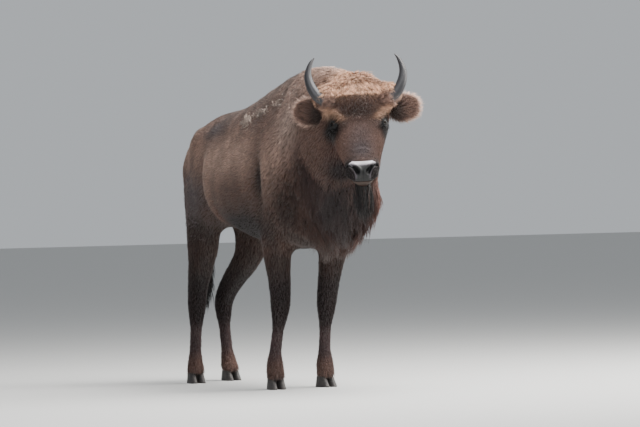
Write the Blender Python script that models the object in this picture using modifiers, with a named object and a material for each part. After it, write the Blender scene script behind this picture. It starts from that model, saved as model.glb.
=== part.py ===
"""A young wisent (European bison), standing, as a still life-size model.

Units are metres and +Z is up. The animal faces -Y, so +X is its left side. The body is built whole from
lofts, fused into one skin, and then parted with thin cuts into head, neck, trunk, legs and tail.
Horns, eyes, ears, hooves and beard are pieces of their own.
"""
import math

import bmesh
import bpy
import numpy as np
from mathutils import Matrix, Vector

# ---------------------------------------------------------------- driving dimensions
GAP = 0.0004               # clear space left by each parting cut
VOXEL = 0.009              # grain of the fused skin before it is thinned out
SKIN_TRIANGLES = 4350      # what the fused skin is thinned to
RING = 40                  # points round each loft
TRUNK_RINGS = 60
LIMB_RINGS = 44
SOLE_HEIGHT = 0.050        # from the floor to the coronet of each hoof

WITHERS = 1.47             # top of the hump, with its coat
EASED_ABOVE = 0.55         # the skin is eased once more above this height
EASED_BEHIND = -0.98       # and behind this place on the neck
EASE_PASSES = 5            # rounds of smoothing over the whole skin
TRUNK_PASSES = 60          # and over the trunk alone

HEAD_AT = Vector((-0.015, -1.120, 1.300))    # midway between the horns
HEAD_START = Vector((0, 0.030, -0.010))      # that point in head space
HEAD_YAW = math.radians(-25)                 # the head turns to the animal's right
HEAD_PITCH = math.radians(55)                # the face falls this far below level
HEAD_ROLL = math.radians(1.5)

# The trunk and neck are four smooth lines through a few places each, given by y from rump to poll.
BACK = (                   # height as a share of the withers
    (0.47, 0.71),          # tail head
    (0.45, 0.76),
    (0.39, 0.81),          # rump
    (0.20, 0.87),          # croup
    (0.00, 0.88),          # loin
    (-0.75, 1.00),         # hump
    (-0.95, 0.985),        # nape
    (-1.05, 0.95),
    (-1.13, 0.865),        # poll
)
UNDERSIDE = (              # height as a share of the withers
    (0.47, 0.63),
    (0.45, 0.575),
    (0.39, 0.525),         # groin
    (0.00, 0.485),         # belly
    (-0.35, 0.44),
    (-0.60, 0.43),         # girth
    (-0.72, 0.44),         # brisket
    (-0.93, 0.51),
    (-1.13, 0.71),         # throat
)
HALF_WIDTH = (
    (0.47, 0.060),
    (0.45, 0.110),
    (0.39, 0.160),
    (0.20, 0.212),         # hips
    (-0.22, 0.266),        # belly
    (-0.75, 0.208),        # shoulders
    (-0.95, 0.182),
    (-1.07, 0.145),
    (-1.13, 0.070),
)
WIDEST = (                 # height of the widest point
    (0.47, 0.99),
    (0.30, 1.02),
    (-0.38, 0.93),
    (-0.70, 0.965),
    (-1.02, 1.13),
    (-1.13, 1.16),
)
TRUNK_TOP_POWER = 1.75     # below 2 the back is a ridge, above 2 it is flat
TRUNK_LOW_POWER = 2.15

# Head, from crown to nose: distance down the face, top, bottom, half width, level of the widest point.
HEAD = (
    (-0.110, 0.000, -0.120, 0.070, -0.06),
    (-0.070, 0.030, -0.170, 0.118, -0.07),
    (-0.020, 0.040, -0.205, 0.138, -0.08),
    (0.040, 0.036, -0.222, 0.142, -0.08),
    (0.100, 0.026, -0.226, 0.140, -0.07),
    (0.150, 0.018, -0.220, 0.134, -0.065),
    (0.200, 0.010, -0.202, 0.120, -0.068),
    (0.250, 0.004, -0.180, 0.105, -0.072),
    (0.300, -0.002, -0.160, 0.090, -0.074),
    (0.345, -0.005, -0.148, 0.080, -0.072),
    (0.385, -0.009, -0.142, 0.076, -0.070),
    (0.415, -0.020, -0.134, 0.067, -0.072),
    (0.438, -0.044, -0.112, 0.042, -0.078),
)
HEAD_TOP_POWER = 2.5
HEAD_LOW_POWER = 2.0

# Joints of each leg from inside the body down to the coronet: height, x, y of the limb's middle.
LEG_JOINTS = {
    "fore_right": (
        (1.02, -0.150, -0.600),      # shoulder
        (0.62, -0.135, -0.530),      # elbow
        (0.39, -0.120, -0.520),      # knee
        (0.11, -0.130, -0.465),      # fetlock
        (0.045, -0.130, -0.475),     # coronet
    ),
    "fore_left": (
        (1.02, 0.150, -0.620),
        (0.62, 0.135, -0.555),
        (0.39, 0.120, -0.510),
        (0.11, 0.125, -0.465),
        (0.045, 0.125, -0.475),
    ),
    "hind_right": (
        (1.12, -0.100, 0.280),       # hip
        (0.69, -0.115, 0.285),       # stifle
        (0.38, -0.108, 0.390),       # hock
        (0.10, -0.118, 0.405),
        (0.045, -0.120, 0.395),
    ),
    "hind_left": (
        (1.12, 0.100, 0.280),
        (0.66, 0.120, 0.250),
        (0.35, 0.095, 0.525),
        (0.10, 0.102, 0.500),
        (0.045, 0.105, 0.480),
    ),
}
# Thickness of a limb by height: half width across, half width along, square to the limb.
LEG_GIRTHS = {
    "fore": (
        (1.02, 0.070, 0.120), (0.90, 0.085, 0.145), (0.68, 0.075, 0.100), (0.50, 0.053, 0.058),
        (0.38, 0.048, 0.047), (0.26, 0.030, 0.032), (0.18, 0.030, 0.033), (0.10, 0.042, 0.048),
        (0.07, 0.041, 0.046), (0.045, 0.045, 0.050),
    ),
    "hind": (
        (1.12, 0.075, 0.130), (1.00, 0.084, 0.148), (0.69, 0.071, 0.125), (0.60, 0.062, 0.097),
        (0.47, 0.046, 0.066), (0.36, 0.042, 0.057), (0.24, 0.029, 0.035), (0.16, 0.030, 0.035),
        (0.09, 0.038, 0.047), (0.045, 0.043, 0.050),
    ),
}
TAIL_LINE = ((1.17, 0.0, 0.430), (1.03, 0.0, 0.505), (0.85, 0.0, 0.515), (0.42, 0.0, 0.505))
TAIL_GIRTHS = (
    (1.17, 0.050, 0.045), (1.11, 0.036, 0.032), (0.90, 0.023, 0.022), (0.80, 0.025, 0.025),
    (0.68, 0.035, 0.033), (0.59, 0.038, 0.035), (0.48, 0.027, 0.025), (0.42, 0.008, 0.008),
)

# Masses under the skin: centre, half sizes, tilt about X in degrees. Each is made on both sides.
MASSES = (
    ((0.135, -0.560, 0.980), (0.115, 0.160, 0.270), 8),      # shoulder
    ((0.075, -0.700, 0.800), (0.120, 0.150, 0.170), -30),    # brisket
    ((0.130, 0.190, 1.120), (0.085, 0.120, 0.100), 0),       # hip bone
    ((0.085, 0.345, 0.990), (0.100, 0.112, 0.165), 0),       # buttock
    ((0.135, 0.130, 0.860), (0.085, 0.120, 0.140), 0),       # flank fold
    ((0.012, -0.935, 0.880), (0.176, 0.130, 0.170), -10),    # throat mane
    ((0.012, -0.830, 0.760), (0.150, 0.130, 0.125), -20),    # dewlap
)

HORN_BASE_RADIUS = 0.0285
# Horn centre line: outward, upward and backward from the middle of the horns' bases.
HORN_LINE = (
    (0.114, -0.012, 0.000), (0.146, 0.002, -0.004), (0.176, 0.024, -0.002), (0.199, 0.062, 0.004),
    (0.210, 0.104, 0.014), (0.207, 0.138, 0.022), (0.195, 0.170, 0.030), (0.178, 0.192, 0.036),
)
HORN_TAPER = (1.05, 1.0, 0.90, 0.78, 0.64, 0.48, 0.30, 0.10)

EYE_RADIUS = 0.021
EYE_AT = (0.110, 0.150, -0.024)          # sideways, down the face, off the face
EAR_AT = (0.200, 0.028, -0.094)
EAR_SIZE = (0.086, 0.068, 0.030)         # half length, half height, half thickness
EAR_SPREAD = math.radians(14)            # how far the tip is swept back
EAR_LIFT = math.radians(4)
EAR_FACING = math.radians(-35)           # tips the cup from the face's own slope to look ahead
EAR_SCOOP = 0.80                         # size of the hollow against the ear
EAR_SCOOP_OUT = 0.016                    # how far the hollow is set towards the tip
EAR_SCOOP_OFF = 0.75                     # how far it stands off the cup, in half thicknesses

# Beard: height from the chin, half width across, half width along.
BEARD = (
    (0.020, 0.026, 0.022), (-0.010, 0.040, 0.032), (-0.050, 0.045, 0.034), (-0.095, 0.041, 0.030),
    (-0.140, 0.031, 0.024), (-0.175, 0.018, 0.015), (-0.192, 0.004, 0.004),
)
CHIN_AT = (0.0, 0.380, -0.128)

CLAW = (0.0195, 0.050)                   # half width and half length at the sole
CLAW_TOP = (0.0180, 0.037)
CLAW_SET_BACK = 0.010                    # how far the coronet lies behind the sole
CLAW_SPREAD = 0.0205                     # each claw's centre from the foot's own
CLAW_WALL = 0.14                         # share of the height where the worn edge meets the wall
SOLE_SHARE = 0.955                       # size of the flat sole against the wall
TOE_OUT = {"fore": math.radians(7), "hind": math.radians(5)}

# Parting planes
FORE_CUT = 0.628                         # height where each foreleg leaves the trunk
HIND_CUT = 0.700
# The neck is what lies ahead of this outline of y and height, the head what lies inside its own outline.
NECK_CUT = ((-2.0, 0.30), (-0.675, 0.30), (-0.885, 1.60), (-2.0, 1.60))
HEAD_CUT = ((-0.095, 0.30), (-0.040, -0.020), (0.030, -0.232), (0.60, -0.232), (0.60, 0.30))
TAIL_CUT = 0.486
TUFT_CUT = 0.740
TAIL_ROOT = 1.130
TAIL_HALF = 0.045                        # half width of the box round the tail
FORE_SPAN = (-0.72, -0.38)               # reach in y of the boxes round each pair of legs
HIND_SPAN = (0.02, 0.70)
FORE_INSIDE = 0.045                      # their inner face, from the middle
HIND_INSIDE = 0.015
OUTSIDE = 0.80                           # beyond the body on any side

COAT = (0.150, 0.095, 0.070)
DARK_COAT = (0.050, 0.034, 0.030)
PALE_COAT = (0.330, 0.215, 0.150)
HORN_COLOUR = (0.110, 0.105, 0.110)
HOOF_COLOUR = (0.045, 0.038, 0.034)
EYE_COLOUR = (0.012, 0.008, 0.006)


# ---------------------------------------------------------------- helpers
def clear_scene():
    for obj in list(bpy.data.objects):
        bpy.data.objects.remove(obj, do_unlink=True)


def collection(name):
    made = bpy.data.collections.new(name)
    bpy.context.scene.collection.children.link(made)
    return made


def material(name, colour, roughness=0.85, metallic=0.0):
    made = bpy.data.materials.new(name)
    made.use_nodes = True
    shader = made.node_tree.nodes["Principled BSDF"]
    shader.inputs["Base Color"].default_value = (*colour, 1.0)
    shader.inputs["Roughness"].default_value = roughness
    shader.inputs["Metallic"].default_value = metallic
    made.diffuse_color = (*colour, 1.0)
    return made


def smooth_rows(rows, count):
    """Stations read from a smooth curve (Catmull-Rom) through the given rows."""
    rows = np.array(rows, float)
    knots = np.concatenate([[0], np.cumsum(np.linalg.norm(np.diff(rows[:, :3], axis=0), axis=1))])
    slopes = np.gradient(rows, knots, axis=0)
    at = np.linspace(0, knots[-1], count)
    k = np.clip(np.searchsorted(knots, at, side="right") - 1, 0, len(rows) - 2)
    step = (knots[k + 1] - knots[k])[:, None]
    t = ((at - knots[k])[:, None]) / step
    return ((2 * t**3 - 3 * t**2 + 1) * rows[k] + (t**3 - 2 * t**2 + t) * step * slopes[k]
            + (3 * t**2 - 2 * t**3) * rows[k + 1] + (t**3 - t**2) * step * slopes[k + 1])


def smooth_line(at, places):
    """A smooth curve through a few (position, value) places, which never swings past them.

    The slope at each place is the harmonic mean of the slopes on its two sides, or level at a peak.
    """
    position, value = np.array(sorted(places), float).T
    steep = np.diff(value) / np.diff(position)
    slope = np.concatenate([steep[:1], np.zeros(len(steep) - 1), steep[-1:]])
    same = np.nonzero(steep[:-1] * steep[1:] > 0)[0]
    slope[same + 1] = 2 / (1 / steep[same] + 1 / steep[same + 1])
    k = np.clip(np.searchsorted(position, at, side="right") - 1, 0, len(steep) - 1)
    step = position[k + 1] - position[k]
    t = (at - position[k]) / step
    return ((2 * t**3 - 3 * t**2 + 1) * value[k] + (t**3 - 2 * t**2 + t) * step * slope[k]
            + (3 * t**2 - 2 * t**3) * value[k + 1] + (t**3 - t**2) * step * slope[k + 1])


def closed_loft(rings):
    """A mesh through rings of equal count, its two ends closed with a fan: points and faces."""
    count, around = rings.shape[:2]
    points = np.concatenate([rings.reshape(-1, 3), rings[:1].mean(axis=1), rings[-1:].mean(axis=1)])
    i, j = np.meshgrid(np.arange(count - 1), np.arange(around), indexing="ij")
    a = i * around + j
    b = i * around + (j + 1) % around
    faces = [tuple(q) for q in np.stack([a, b, b + around, a + around], axis=-1).reshape(-1, 4).tolist()]
    last = (count - 1) * around
    for n in range(around):
        m = (n + 1) % around
        faces.append((count * around, m, n))
        faces.append((count * around + 1, last + n, last + m))
    return points, faces


def mesh_object(name, shapes, into):
    """One object from several (points, faces) shapes, with normals turned outward."""
    shaped = bmesh.new()
    for points, faces in shapes:
        verts = [shaped.verts.new(p) for p in points]
        made = [shaped.faces.new([verts[n] for n in face]) for face in faces]
        bmesh.ops.recalc_face_normals(shaped, faces=made)
    mesh = bpy.data.meshes.new(name)
    shaped.to_mesh(mesh)
    shaped.free()
    obj = bpy.data.objects.new(name, mesh)
    into.objects.link(obj)
    return obj


def ball(centre, sizes, tilt=0.0, turn=None, segments=24):
    """An ellipsoid as (points, faces)."""
    shaped = bmesh.new()
    bmesh.ops.create_uvsphere(shaped, u_segments=segments, v_segments=segments // 2 + 1, radius=1.0)
    spin = turn if turn is not None else Matrix.Rotation(math.radians(tilt), 4, "X")
    bmesh.ops.transform(shaped, matrix=Matrix.Translation(centre) @ spin @ Matrix.Diagonal((*sizes, 1.0)),
                        verts=shaped.verts)
    shaped.verts.index_update()
    points = np.array([v.co for v in shaped.verts])
    faces = [tuple(v.index for v in f.verts) for f in shaped.faces]
    shaped.free()
    return points, faces


def power_ring(half, top, low, top_power, low_power):
    """One closed outline: a superellipse whose upper and lower halves have their own height and power."""
    angle = np.linspace(0, 2 * np.pi, RING, endpoint=False)
    c, s = np.cos(angle), np.sin(angle)
    power = np.where(s > 0, top_power, low_power)
    across = half * np.sign(c) * np.abs(c) ** (2 / power)
    up = np.where(s > 0, top, low) * np.abs(s) ** (2 / power) * np.sign(s)
    return across, up


def trunk_shape():
    """Upright rings from rump to poll, closer together towards both ends."""
    rump, poll = BACK[0][0], BACK[-1][0]
    stations = (rump + poll) / 2 + (rump - poll) / 2 * np.cos(np.linspace(0, np.pi, TRUNK_RINGS))
    tops = WITHERS * smooth_line(stations, BACK)
    lows = WITHERS * smooth_line(stations, UNDERSIDE)
    halves = smooth_line(stations, HALF_WIDTH)
    levels = smooth_line(stations, WIDEST)
    rings = []
    for y, top, low, half, wide in zip(stations, tops, lows, halves, levels):
        across, up = power_ring(half, top - wide, wide - low, TRUNK_TOP_POWER, TRUNK_LOW_POWER)
        rings.append(np.stack([across, np.full(RING, y), wide + up], axis=1))
    return closed_loft(np.array(rings))


def limb_shape(joints, girths):
    """Level elliptical rings down a limb, drawn out along the body where the limb slants."""
    heights = np.linspace(joints[0][0], joints[-1][0], LIMB_RINGS)
    x = smooth_line(heights, [(z, x) for z, x, _ in joints])
    y = smooth_line(heights, [(z, y) for z, _, y in joints])
    across = smooth_line(heights, [(z, half) for z, half, _ in girths])
    along = smooth_line(heights, [(z, half) for z, _, half in girths])
    along = along * np.hypot(1, np.gradient(y, heights))
    angle = np.linspace(0, 2 * np.pi, RING, endpoint=False)
    rings = np.stack([x[:, None] + across[:, None] * np.cos(angle),
                      y[:, None] + along[:, None] * np.sin(angle),
                      np.repeat(heights[:, None], RING, axis=1)], axis=2)
    return closed_loft(rings)


def head_course():
    """The level directions ahead of the face and to its left, and the head's sideways lean."""
    ahead = Vector((math.sin(HEAD_YAW), -math.cos(HEAD_YAW), 0))
    return ahead, Vector((-ahead.y, ahead.x, 0)), Matrix.Rotation(HEAD_ROLL, 4, ahead)


def head_frame():
    """Matrix from head space (x left, y down the face, z off the face) to the model."""
    ahead, left, lean = head_course()
    down = ahead * math.cos(HEAD_PITCH) + Vector((0, 0, -1)) * math.sin(HEAD_PITCH)
    off = ahead * math.sin(HEAD_PITCH) + Vector((0, 0, 1)) * math.cos(HEAD_PITCH)
    turn = Matrix((left, down, off)).transposed().to_4x4()
    return Matrix.Translation(HEAD_AT) @ lean @ turn @ Matrix.Translation(-HEAD_START)


def placed(points, matrix):
    matrix = np.array(matrix)
    return np.asarray(points) @ matrix[:3, :3].T + matrix[:3, 3]


def head_shape(matrix):
    rings = []
    for down, top, low, half, wide in smooth_rows(HEAD, 36):
        across, off = power_ring(half, top - wide, wide - low, HEAD_TOP_POWER, HEAD_LOW_POWER)
        rings.append(np.stack([across, np.full(RING, down), wide + off], axis=1))
    points, faces = closed_loft(np.array(rings))
    return placed(points, matrix), faces


def head_masses(matrix):
    """Brows, cheeks, nose and chin, in head space."""
    turn = matrix.to_3x3().to_4x4()
    local = (
        ((0.098, 0.112, -0.012), (0.040, 0.045, 0.026)),      # brow
        ((-0.098, 0.112, -0.012), (0.040, 0.045, 0.026)),
        ((0.070, 0.140, -0.130), (0.056, 0.085, 0.075)),      # cheek
        ((-0.070, 0.140, -0.130), (0.056, 0.085, 0.075)),
        ((0.036, 0.388, -0.036), (0.036, 0.038, 0.034)),      # nostril wing
        ((-0.036, 0.388, -0.036), (0.036, 0.038, 0.034)),
        ((0.0, 0.378, -0.122), (0.046, 0.046, 0.028)),        # chin
        ((0.120, -0.010, -0.020), (0.040, 0.045, 0.040)),     # horn socket
        ((-0.120, -0.010, -0.020), (0.040, 0.045, 0.040)),
        ((0.0, -0.055, -0.010), (0.115, 0.080, 0.052)),       # woolly crown
    )
    return [ball(matrix @ Vector(c), s, turn=turn) for c, s in local]


def live_mesh(obj):
    """The object's mesh with its modifiers applied."""
    deps = bpy.context.evaluated_depsgraph_get()
    mesh = bpy.data.meshes.new_from_object(obj.evaluated_get(deps))
    old = obj.data
    obj.modifiers.clear()
    obj.data = mesh
    if old.users == 0:
        bpy.data.meshes.remove(old)
    return obj


def fused_body(into, head):
    shapes = [trunk_shape(), head_shape(head), *head_masses(head)]
    shapes += [limb_shape(joints, LEG_GIRTHS[leg[:4]]) for leg, joints in LEG_JOINTS.items()]
    shapes.append(limb_shape(TAIL_LINE, TAIL_GIRTHS))
    for centre, sizes, tilt in MASSES:
        for side in (1, -1):
            shapes.append(ball((centre[0] * side, centre[1], centre[2]), sizes, tilt))
    body = mesh_object("body", shapes, into)
    melt = body.modifiers.new("fuse", "REMESH")
    melt.mode = "VOXEL"
    melt.voxel_size = VOXEL
    ease = body.modifiers.new("ease", "SMOOTH")
    ease.factor = 0.5
    ease.iterations = EASE_PASSES
    live_mesh(body)
    spots = np.array([v.co for v in body.data.vertices])
    trunk = body.vertex_groups.new(name="trunk")
    for n in np.nonzero((spots[:, 2] > EASED_ABOVE) & (spots[:, 1] > EASED_BEHIND))[0]:
        trunk.add([int(n)], 1.0, "REPLACE")
    blend = body.modifiers.new("blend", "SMOOTH")
    blend.factor = 0.5
    blend.iterations = TRUNK_PASSES
    blend.vertex_group = "trunk"
    live_mesh(body)
    thin = body.modifiers.new("thin", "DECIMATE")
    body.data.calc_loop_triangles()
    thin.ratio = SKIN_TRIANGLES / len(body.data.loop_triangles)
    return live_mesh(body)


def prism(name, outline, across, swell, into, matrix):
    """A convex cutter: an outline in the side plane, wound anticlockwise, drawn out sideways.

    Every face moves out by swell, so that two prisms of one outline part a body with a thin gap.
    """
    outline = np.array(outline, float)
    run = np.roll(outline, -1, axis=0) - outline
    run /= np.linalg.norm(run, axis=1)[:, None]
    out = np.stack([run[:, 1], -run[:, 0]], axis=1)
    before = np.roll(out, 1, axis=0)
    corners = outline + swell * (out + before) / (1 + (out * before).sum(axis=1))[:, None]
    low, high = across[0] - swell, across[1] + swell
    shaped = bmesh.new()
    near = [shaped.verts.new(matrix @ Vector((low, *corner))) for corner in corners]
    far = [shaped.verts.new(matrix @ Vector((high, *corner))) for corner in corners]
    shaped.faces.new(near)
    shaped.faces.new(far)
    for n in range(len(corners)):
        m = (n + 1) % len(corners)
        shaped.faces.new((near[n], near[m], far[m], far[n]))
    bmesh.ops.recalc_face_normals(shaped, faces=shaped.faces)
    mesh = bpy.data.meshes.new(name)
    shaped.to_mesh(mesh)
    shaped.free()
    obj = bpy.data.objects.new(name, mesh)
    into.objects.link(obj)
    obj.hide_render = True
    obj.display_type = "WIRE"
    return obj


def carved(obj, operation, cutter):
    """The object after one Boolean, keeping only its largest body."""
    cut = obj.modifiers.new("cut", "BOOLEAN")
    cut.operation = operation
    cut.object = cutter
    live_mesh(obj)
    shaped = bmesh.new()
    shaped.from_mesh(obj.data)
    left = set(shaped.verts)
    islands = []
    while left:
        island = set()
        edge = {next(iter(left))}
        while edge:
            island |= edge
            edge = {e.other_vert(v) for v in edge for e in v.link_edges} - island
        islands.append(island)
        left -= island
    islands.sort(key=len)
    bmesh.ops.delete(shaped, geom=[v for island in islands[:-1] for v in island], context="VERTS")
    shaped.to_mesh(obj.data)
    shaped.free()
    return obj


def copy_of(obj, name, into):
    twin = bpy.data.objects.new(name, obj.data.copy())
    into.objects.link(twin)
    return twin


def parted(body, name, outline, across, parts, cutters, matrix=None):
    """Takes the part of the body inside a prism out as its own object, with a thin gap all round."""
    matrix = Matrix.Identity(4) if matrix is None else matrix
    inner = prism("inside_" + name, outline, across, 0.0, cutters, matrix)
    outer = prism("outside_" + name, outline, across, GAP, cutters, matrix)
    piece = carved(copy_of(body, name, parts), "INTERSECT", inner)
    carved(body, "DIFFERENCE", outer)
    return piece


def box_outline(low_y, high_y, low_z, high_z):
    return ((low_y, low_z), (high_y, low_z), (high_y, high_z), (low_y, high_z))


def horn_curve(side, swell, into, name):
    """A horn as a tapered tube along a smooth curve; swell adds to its radius for the socket cutter."""
    ahead, left, lean = head_course()
    rows = smooth_rows([(side * o, -b, u, r) for (o, u, b), r in zip(HORN_LINE, HORN_TAPER)], 15)
    line = bpy.data.curves.new(name, "CURVE")
    line.dimensions = "3D"
    line.bevel_depth = 1.0
    line.bevel_resolution = 2
    line.use_fill_caps = True
    if swell:
        rows[0][0] -= side * 2 * swell        # the socket reaches past the horn's flat inner end
    spline = line.splines.new("POLY")
    spline.points.add(len(rows) - 1)
    for point, (out, front, up, taper) in zip(spline.points, rows):
        spot = lean @ (left * out + ahead * front + Vector((0, 0, up))) + HEAD_AT
        point.co = (*spot, 1.0)
        point.radius = HORN_BASE_RADIUS * taper + swell
    curve = bpy.data.objects.new(name, line)
    into.objects.link(curve)
    deps = bpy.context.evaluated_depsgraph_get()
    mesh = bpy.data.meshes.new_from_object(curve.evaluated_get(deps))
    welded = bmesh.new()
    welded.from_mesh(mesh)
    bmesh.ops.remove_doubles(welded, verts=welded.verts, dist=0.00005)
    bmesh.ops.recalc_face_normals(welded, faces=welded.faces)
    welded.to_mesh(mesh)
    welded.free()
    bpy.data.objects.remove(curve, do_unlink=True)
    horn = bpy.data.objects.new(name, mesh)
    into.objects.link(horn)
    return horn


def ear_turn(side, head):
    """The ear's own axes: along its length, across its height, and out of the cup."""
    flat = head.to_3x3().to_4x4()
    return (flat @ Matrix.Rotation(EAR_FACING, 4, "X") @ Matrix.Rotation(side * EAR_SPREAD, 4, "Y")
            @ Matrix.Rotation(-side * EAR_LIFT, 4, "Z"))


def ear(side, head, name, parts, cutters):
    centre = head @ Vector((side * EAR_AT[0], EAR_AT[1], EAR_AT[2]))
    turn = ear_turn(side, head)
    obj = mesh_object(name, [ball(centre, EAR_SIZE, turn=turn, segments=16)], parts)
    hollow_at = centre + turn @ Vector((side * EAR_SCOOP_OUT, 0, EAR_SIZE[2] * EAR_SCOOP_OFF))
    hollow = mesh_object("hollow_" + name, [ball(hollow_at, [v * EAR_SCOOP for v in EAR_SIZE], turn=turn,
                                                   segments=16)], cutters)
    return carved(obj, "DIFFERENCE", hollow)


def ear_socket(side, head, cutters):
    centre = head @ Vector((side * EAR_AT[0], EAR_AT[1], EAR_AT[2]))
    sizes = [v + GAP for v in EAR_SIZE]
    return mesh_object("ear_socket", [ball(centre, sizes, turn=ear_turn(side, head), segments=16)], cutters)


def eye(side, head, radius, name, into):
    centre = head @ Vector((side * EYE_AT[0], EYE_AT[1], EYE_AT[2]))
    return mesh_object(name, [ball(centre, (radius, radius, radius), turn=head.to_3x3().to_4x4(),
                                    segments=14)], into)


def beard(head, swell, name, into):
    chin = head @ Vector(CHIN_AT)
    rows = [(chin.z + z, chin.x, chin.y, across + swell, along + swell) for z, across, along in BEARD]
    rows[0] = (rows[0][0] + swell, *rows[0][1:])
    angle = np.linspace(0, 2 * np.pi, 14, endpoint=False)
    rings = [np.stack([x + a * np.cos(angle), y + b * np.sin(angle), np.full(14, z)], axis=1)
             for z, x, y, a, b in smooth_rows(rows, 9)]
    return mesh_object(name, [closed_loft(np.array(rings))], into)


def claw(name, foot, side, turn, into):
    """One toe of a cloven hoof: a power-curve outline that narrows and steps back up to the coronet."""
    angle = np.linspace(0, 2 * np.pi, 16, endpoint=False)
    c, s = np.cos(angle), np.sin(angle)
    rings = []
    for t in (0.0, CLAW_WALL, 1.0):
        swell = SOLE_SHARE if t == 0 else 1.0
        half = (CLAW[0] + (CLAW_TOP[0] - CLAW[0]) * t) * swell
        long = (CLAW[1] + (CLAW_TOP[1] - CLAW[1]) * t) * swell
        x = side * CLAW_SPREAD + half * np.sign(c) * np.abs(c) ** 0.8
        y = CLAW_SET_BACK * t + long * np.sign(s) * np.abs(s) ** 0.9
        rings.append(np.stack([x, y, np.full_like(x, t * SOLE_HEIGHT)], axis=1))
    points, faces = closed_loft(np.array(rings))
    matrix = Matrix.Translation((foot[0], foot[1], 0)) @ Matrix.Rotation(turn, 4, "Z")
    return mesh_object(name, [(placed(points, matrix), faces)], into)


def finish(obj, finish_material):
    obj.data.materials.clear()
    obj.data.materials.append(finish_material)
    for face in obj.data.polygons:
        face.material_index = 0
    obj.data.shade_smooth()
    obj.data.set_sharp_from_angle(angle=math.radians(50))


def stand_at_origin(pieces):
    """Moves every piece so that the middle of the whole animal's floor outline is the origin."""
    spots = np.concatenate([[v.co for v in piece.data.vertices] for piece in pieces])
    middle = (spots.min(axis=0) + spots.max(axis=0)) / 2
    for piece in pieces:
        piece.data.transform(Matrix.Translation((-middle[0], -middle[1], 0)))


def main():
    clear_scene()
    parts = collection("wisent")
    cutters = collection("cutters")
    head_space = head_frame()
    coat = material("coat", COAT)
    dark = material("dark_coat", DARK_COAT)
    pale = material("pale_coat", PALE_COAT)
    horn_stuff = material("horn", HORN_COLOUR, 0.45)
    hoof_stuff = material("hoof", HOOF_COLOUR, 0.6)
    eye_stuff = material("eye", EYE_COLOUR, 0.08)

    trunk = fused_body(parts, head_space)
    trunk.name = "trunk"
    pieces = {}

    def take(name, outline, across, matrix=None):
        pieces[name] = parted(trunk, name, outline, across, parts, cutters, matrix)

    take("tail", box_outline(TAIL_CUT, OUTSIDE, 0, TAIL_ROOT), (-TAIL_HALF, TAIL_HALF))
    pieces["tail_tuft"] = parted(pieces["tail"], "tail_tuft", box_outline(0, OUTSIDE, 0, TUFT_CUT),
                                 (-OUTSIDE, OUTSIDE), parts, cutters)
    coronet = SOLE_HEIGHT + GAP
    for pair, span, top, inside in (("fore", FORE_SPAN, FORE_CUT, FORE_INSIDE),
                                    ("hind", HIND_SPAN, HIND_CUT, HIND_INSIDE)):
        outline = box_outline(*span, coronet, top)
        take(pair + "leg_right", outline, (-OUTSIDE, -inside))
        take(pair + "leg_left", outline, (inside, OUTSIDE))
    take("head", HEAD_CUT, (-OUTSIDE, OUTSIDE), head_space)
    take("neck", NECK_CUT, (-OUTSIDE, OUTSIDE))
    pieces["trunk"] = trunk

    for side, word in ((1, "left"), (-1, "right")):
        socket = horn_curve(side, GAP, cutters, "horn_socket")
        carved(pieces["head"], "DIFFERENCE", socket)
        pieces["horn_" + word] = horn_curve(side, 0.0, parts, "horn_" + word)
        socket = ear_socket(side, head_space, cutters)
        carved(pieces["head"], "DIFFERENCE", socket)
        carved(pieces["neck"], "DIFFERENCE", socket)
        pieces["ear_" + word] = ear(side, head_space, "ear_" + word, parts, cutters)
        carved(pieces["head"], "DIFFERENCE", eye(side, head_space, EYE_RADIUS + GAP, "eye_socket", cutters))
        pieces["eye_" + word] = eye(side, head_space, EYE_RADIUS, "eye_" + word, parts)
    carved(pieces["head"], "DIFFERENCE", beard(head_space, GAP, "beard_socket", cutters))
    pieces["beard"] = beard(head_space, 0.0, "beard", parts)

    for foot, joints in LEG_JOINTS.items():
        outward = -1 if foot.endswith("right") else 1
        at = joints[-1][1:3]
        turn = outward * TOE_OUT[foot[:4]]
        for side, word in ((outward, "outer"), (-outward, "inner")):
            name = f"hoof_{foot}_{word}"
            pieces[name] = claw(name, at, side, turn, parts)

    finishes = {"horn": horn_stuff, "hoof": hoof_stuff, "eye": eye_stuff, "ear": pale, "beard": dark,
                "tail": dark, "foreleg": dark, "hindleg": dark}
    for name, piece in pieces.items():
        finish(piece, finishes.get(name.split("_")[0], coat))
    for cutter in cutters.objects:
        cutter.hide_render = True
        cutter.display_type = "WIRE"
    stand_at_origin(pieces.values())


if __name__ == "__main__":
    main()
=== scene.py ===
import math

import bmesh
import bpy
import numpy as np
from bpy.props import FloatProperty, FloatVectorProperty, IntProperty, PointerProperty
from mathutils import Matrix, Vector
from mathutils.kdtree import KDTree


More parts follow.
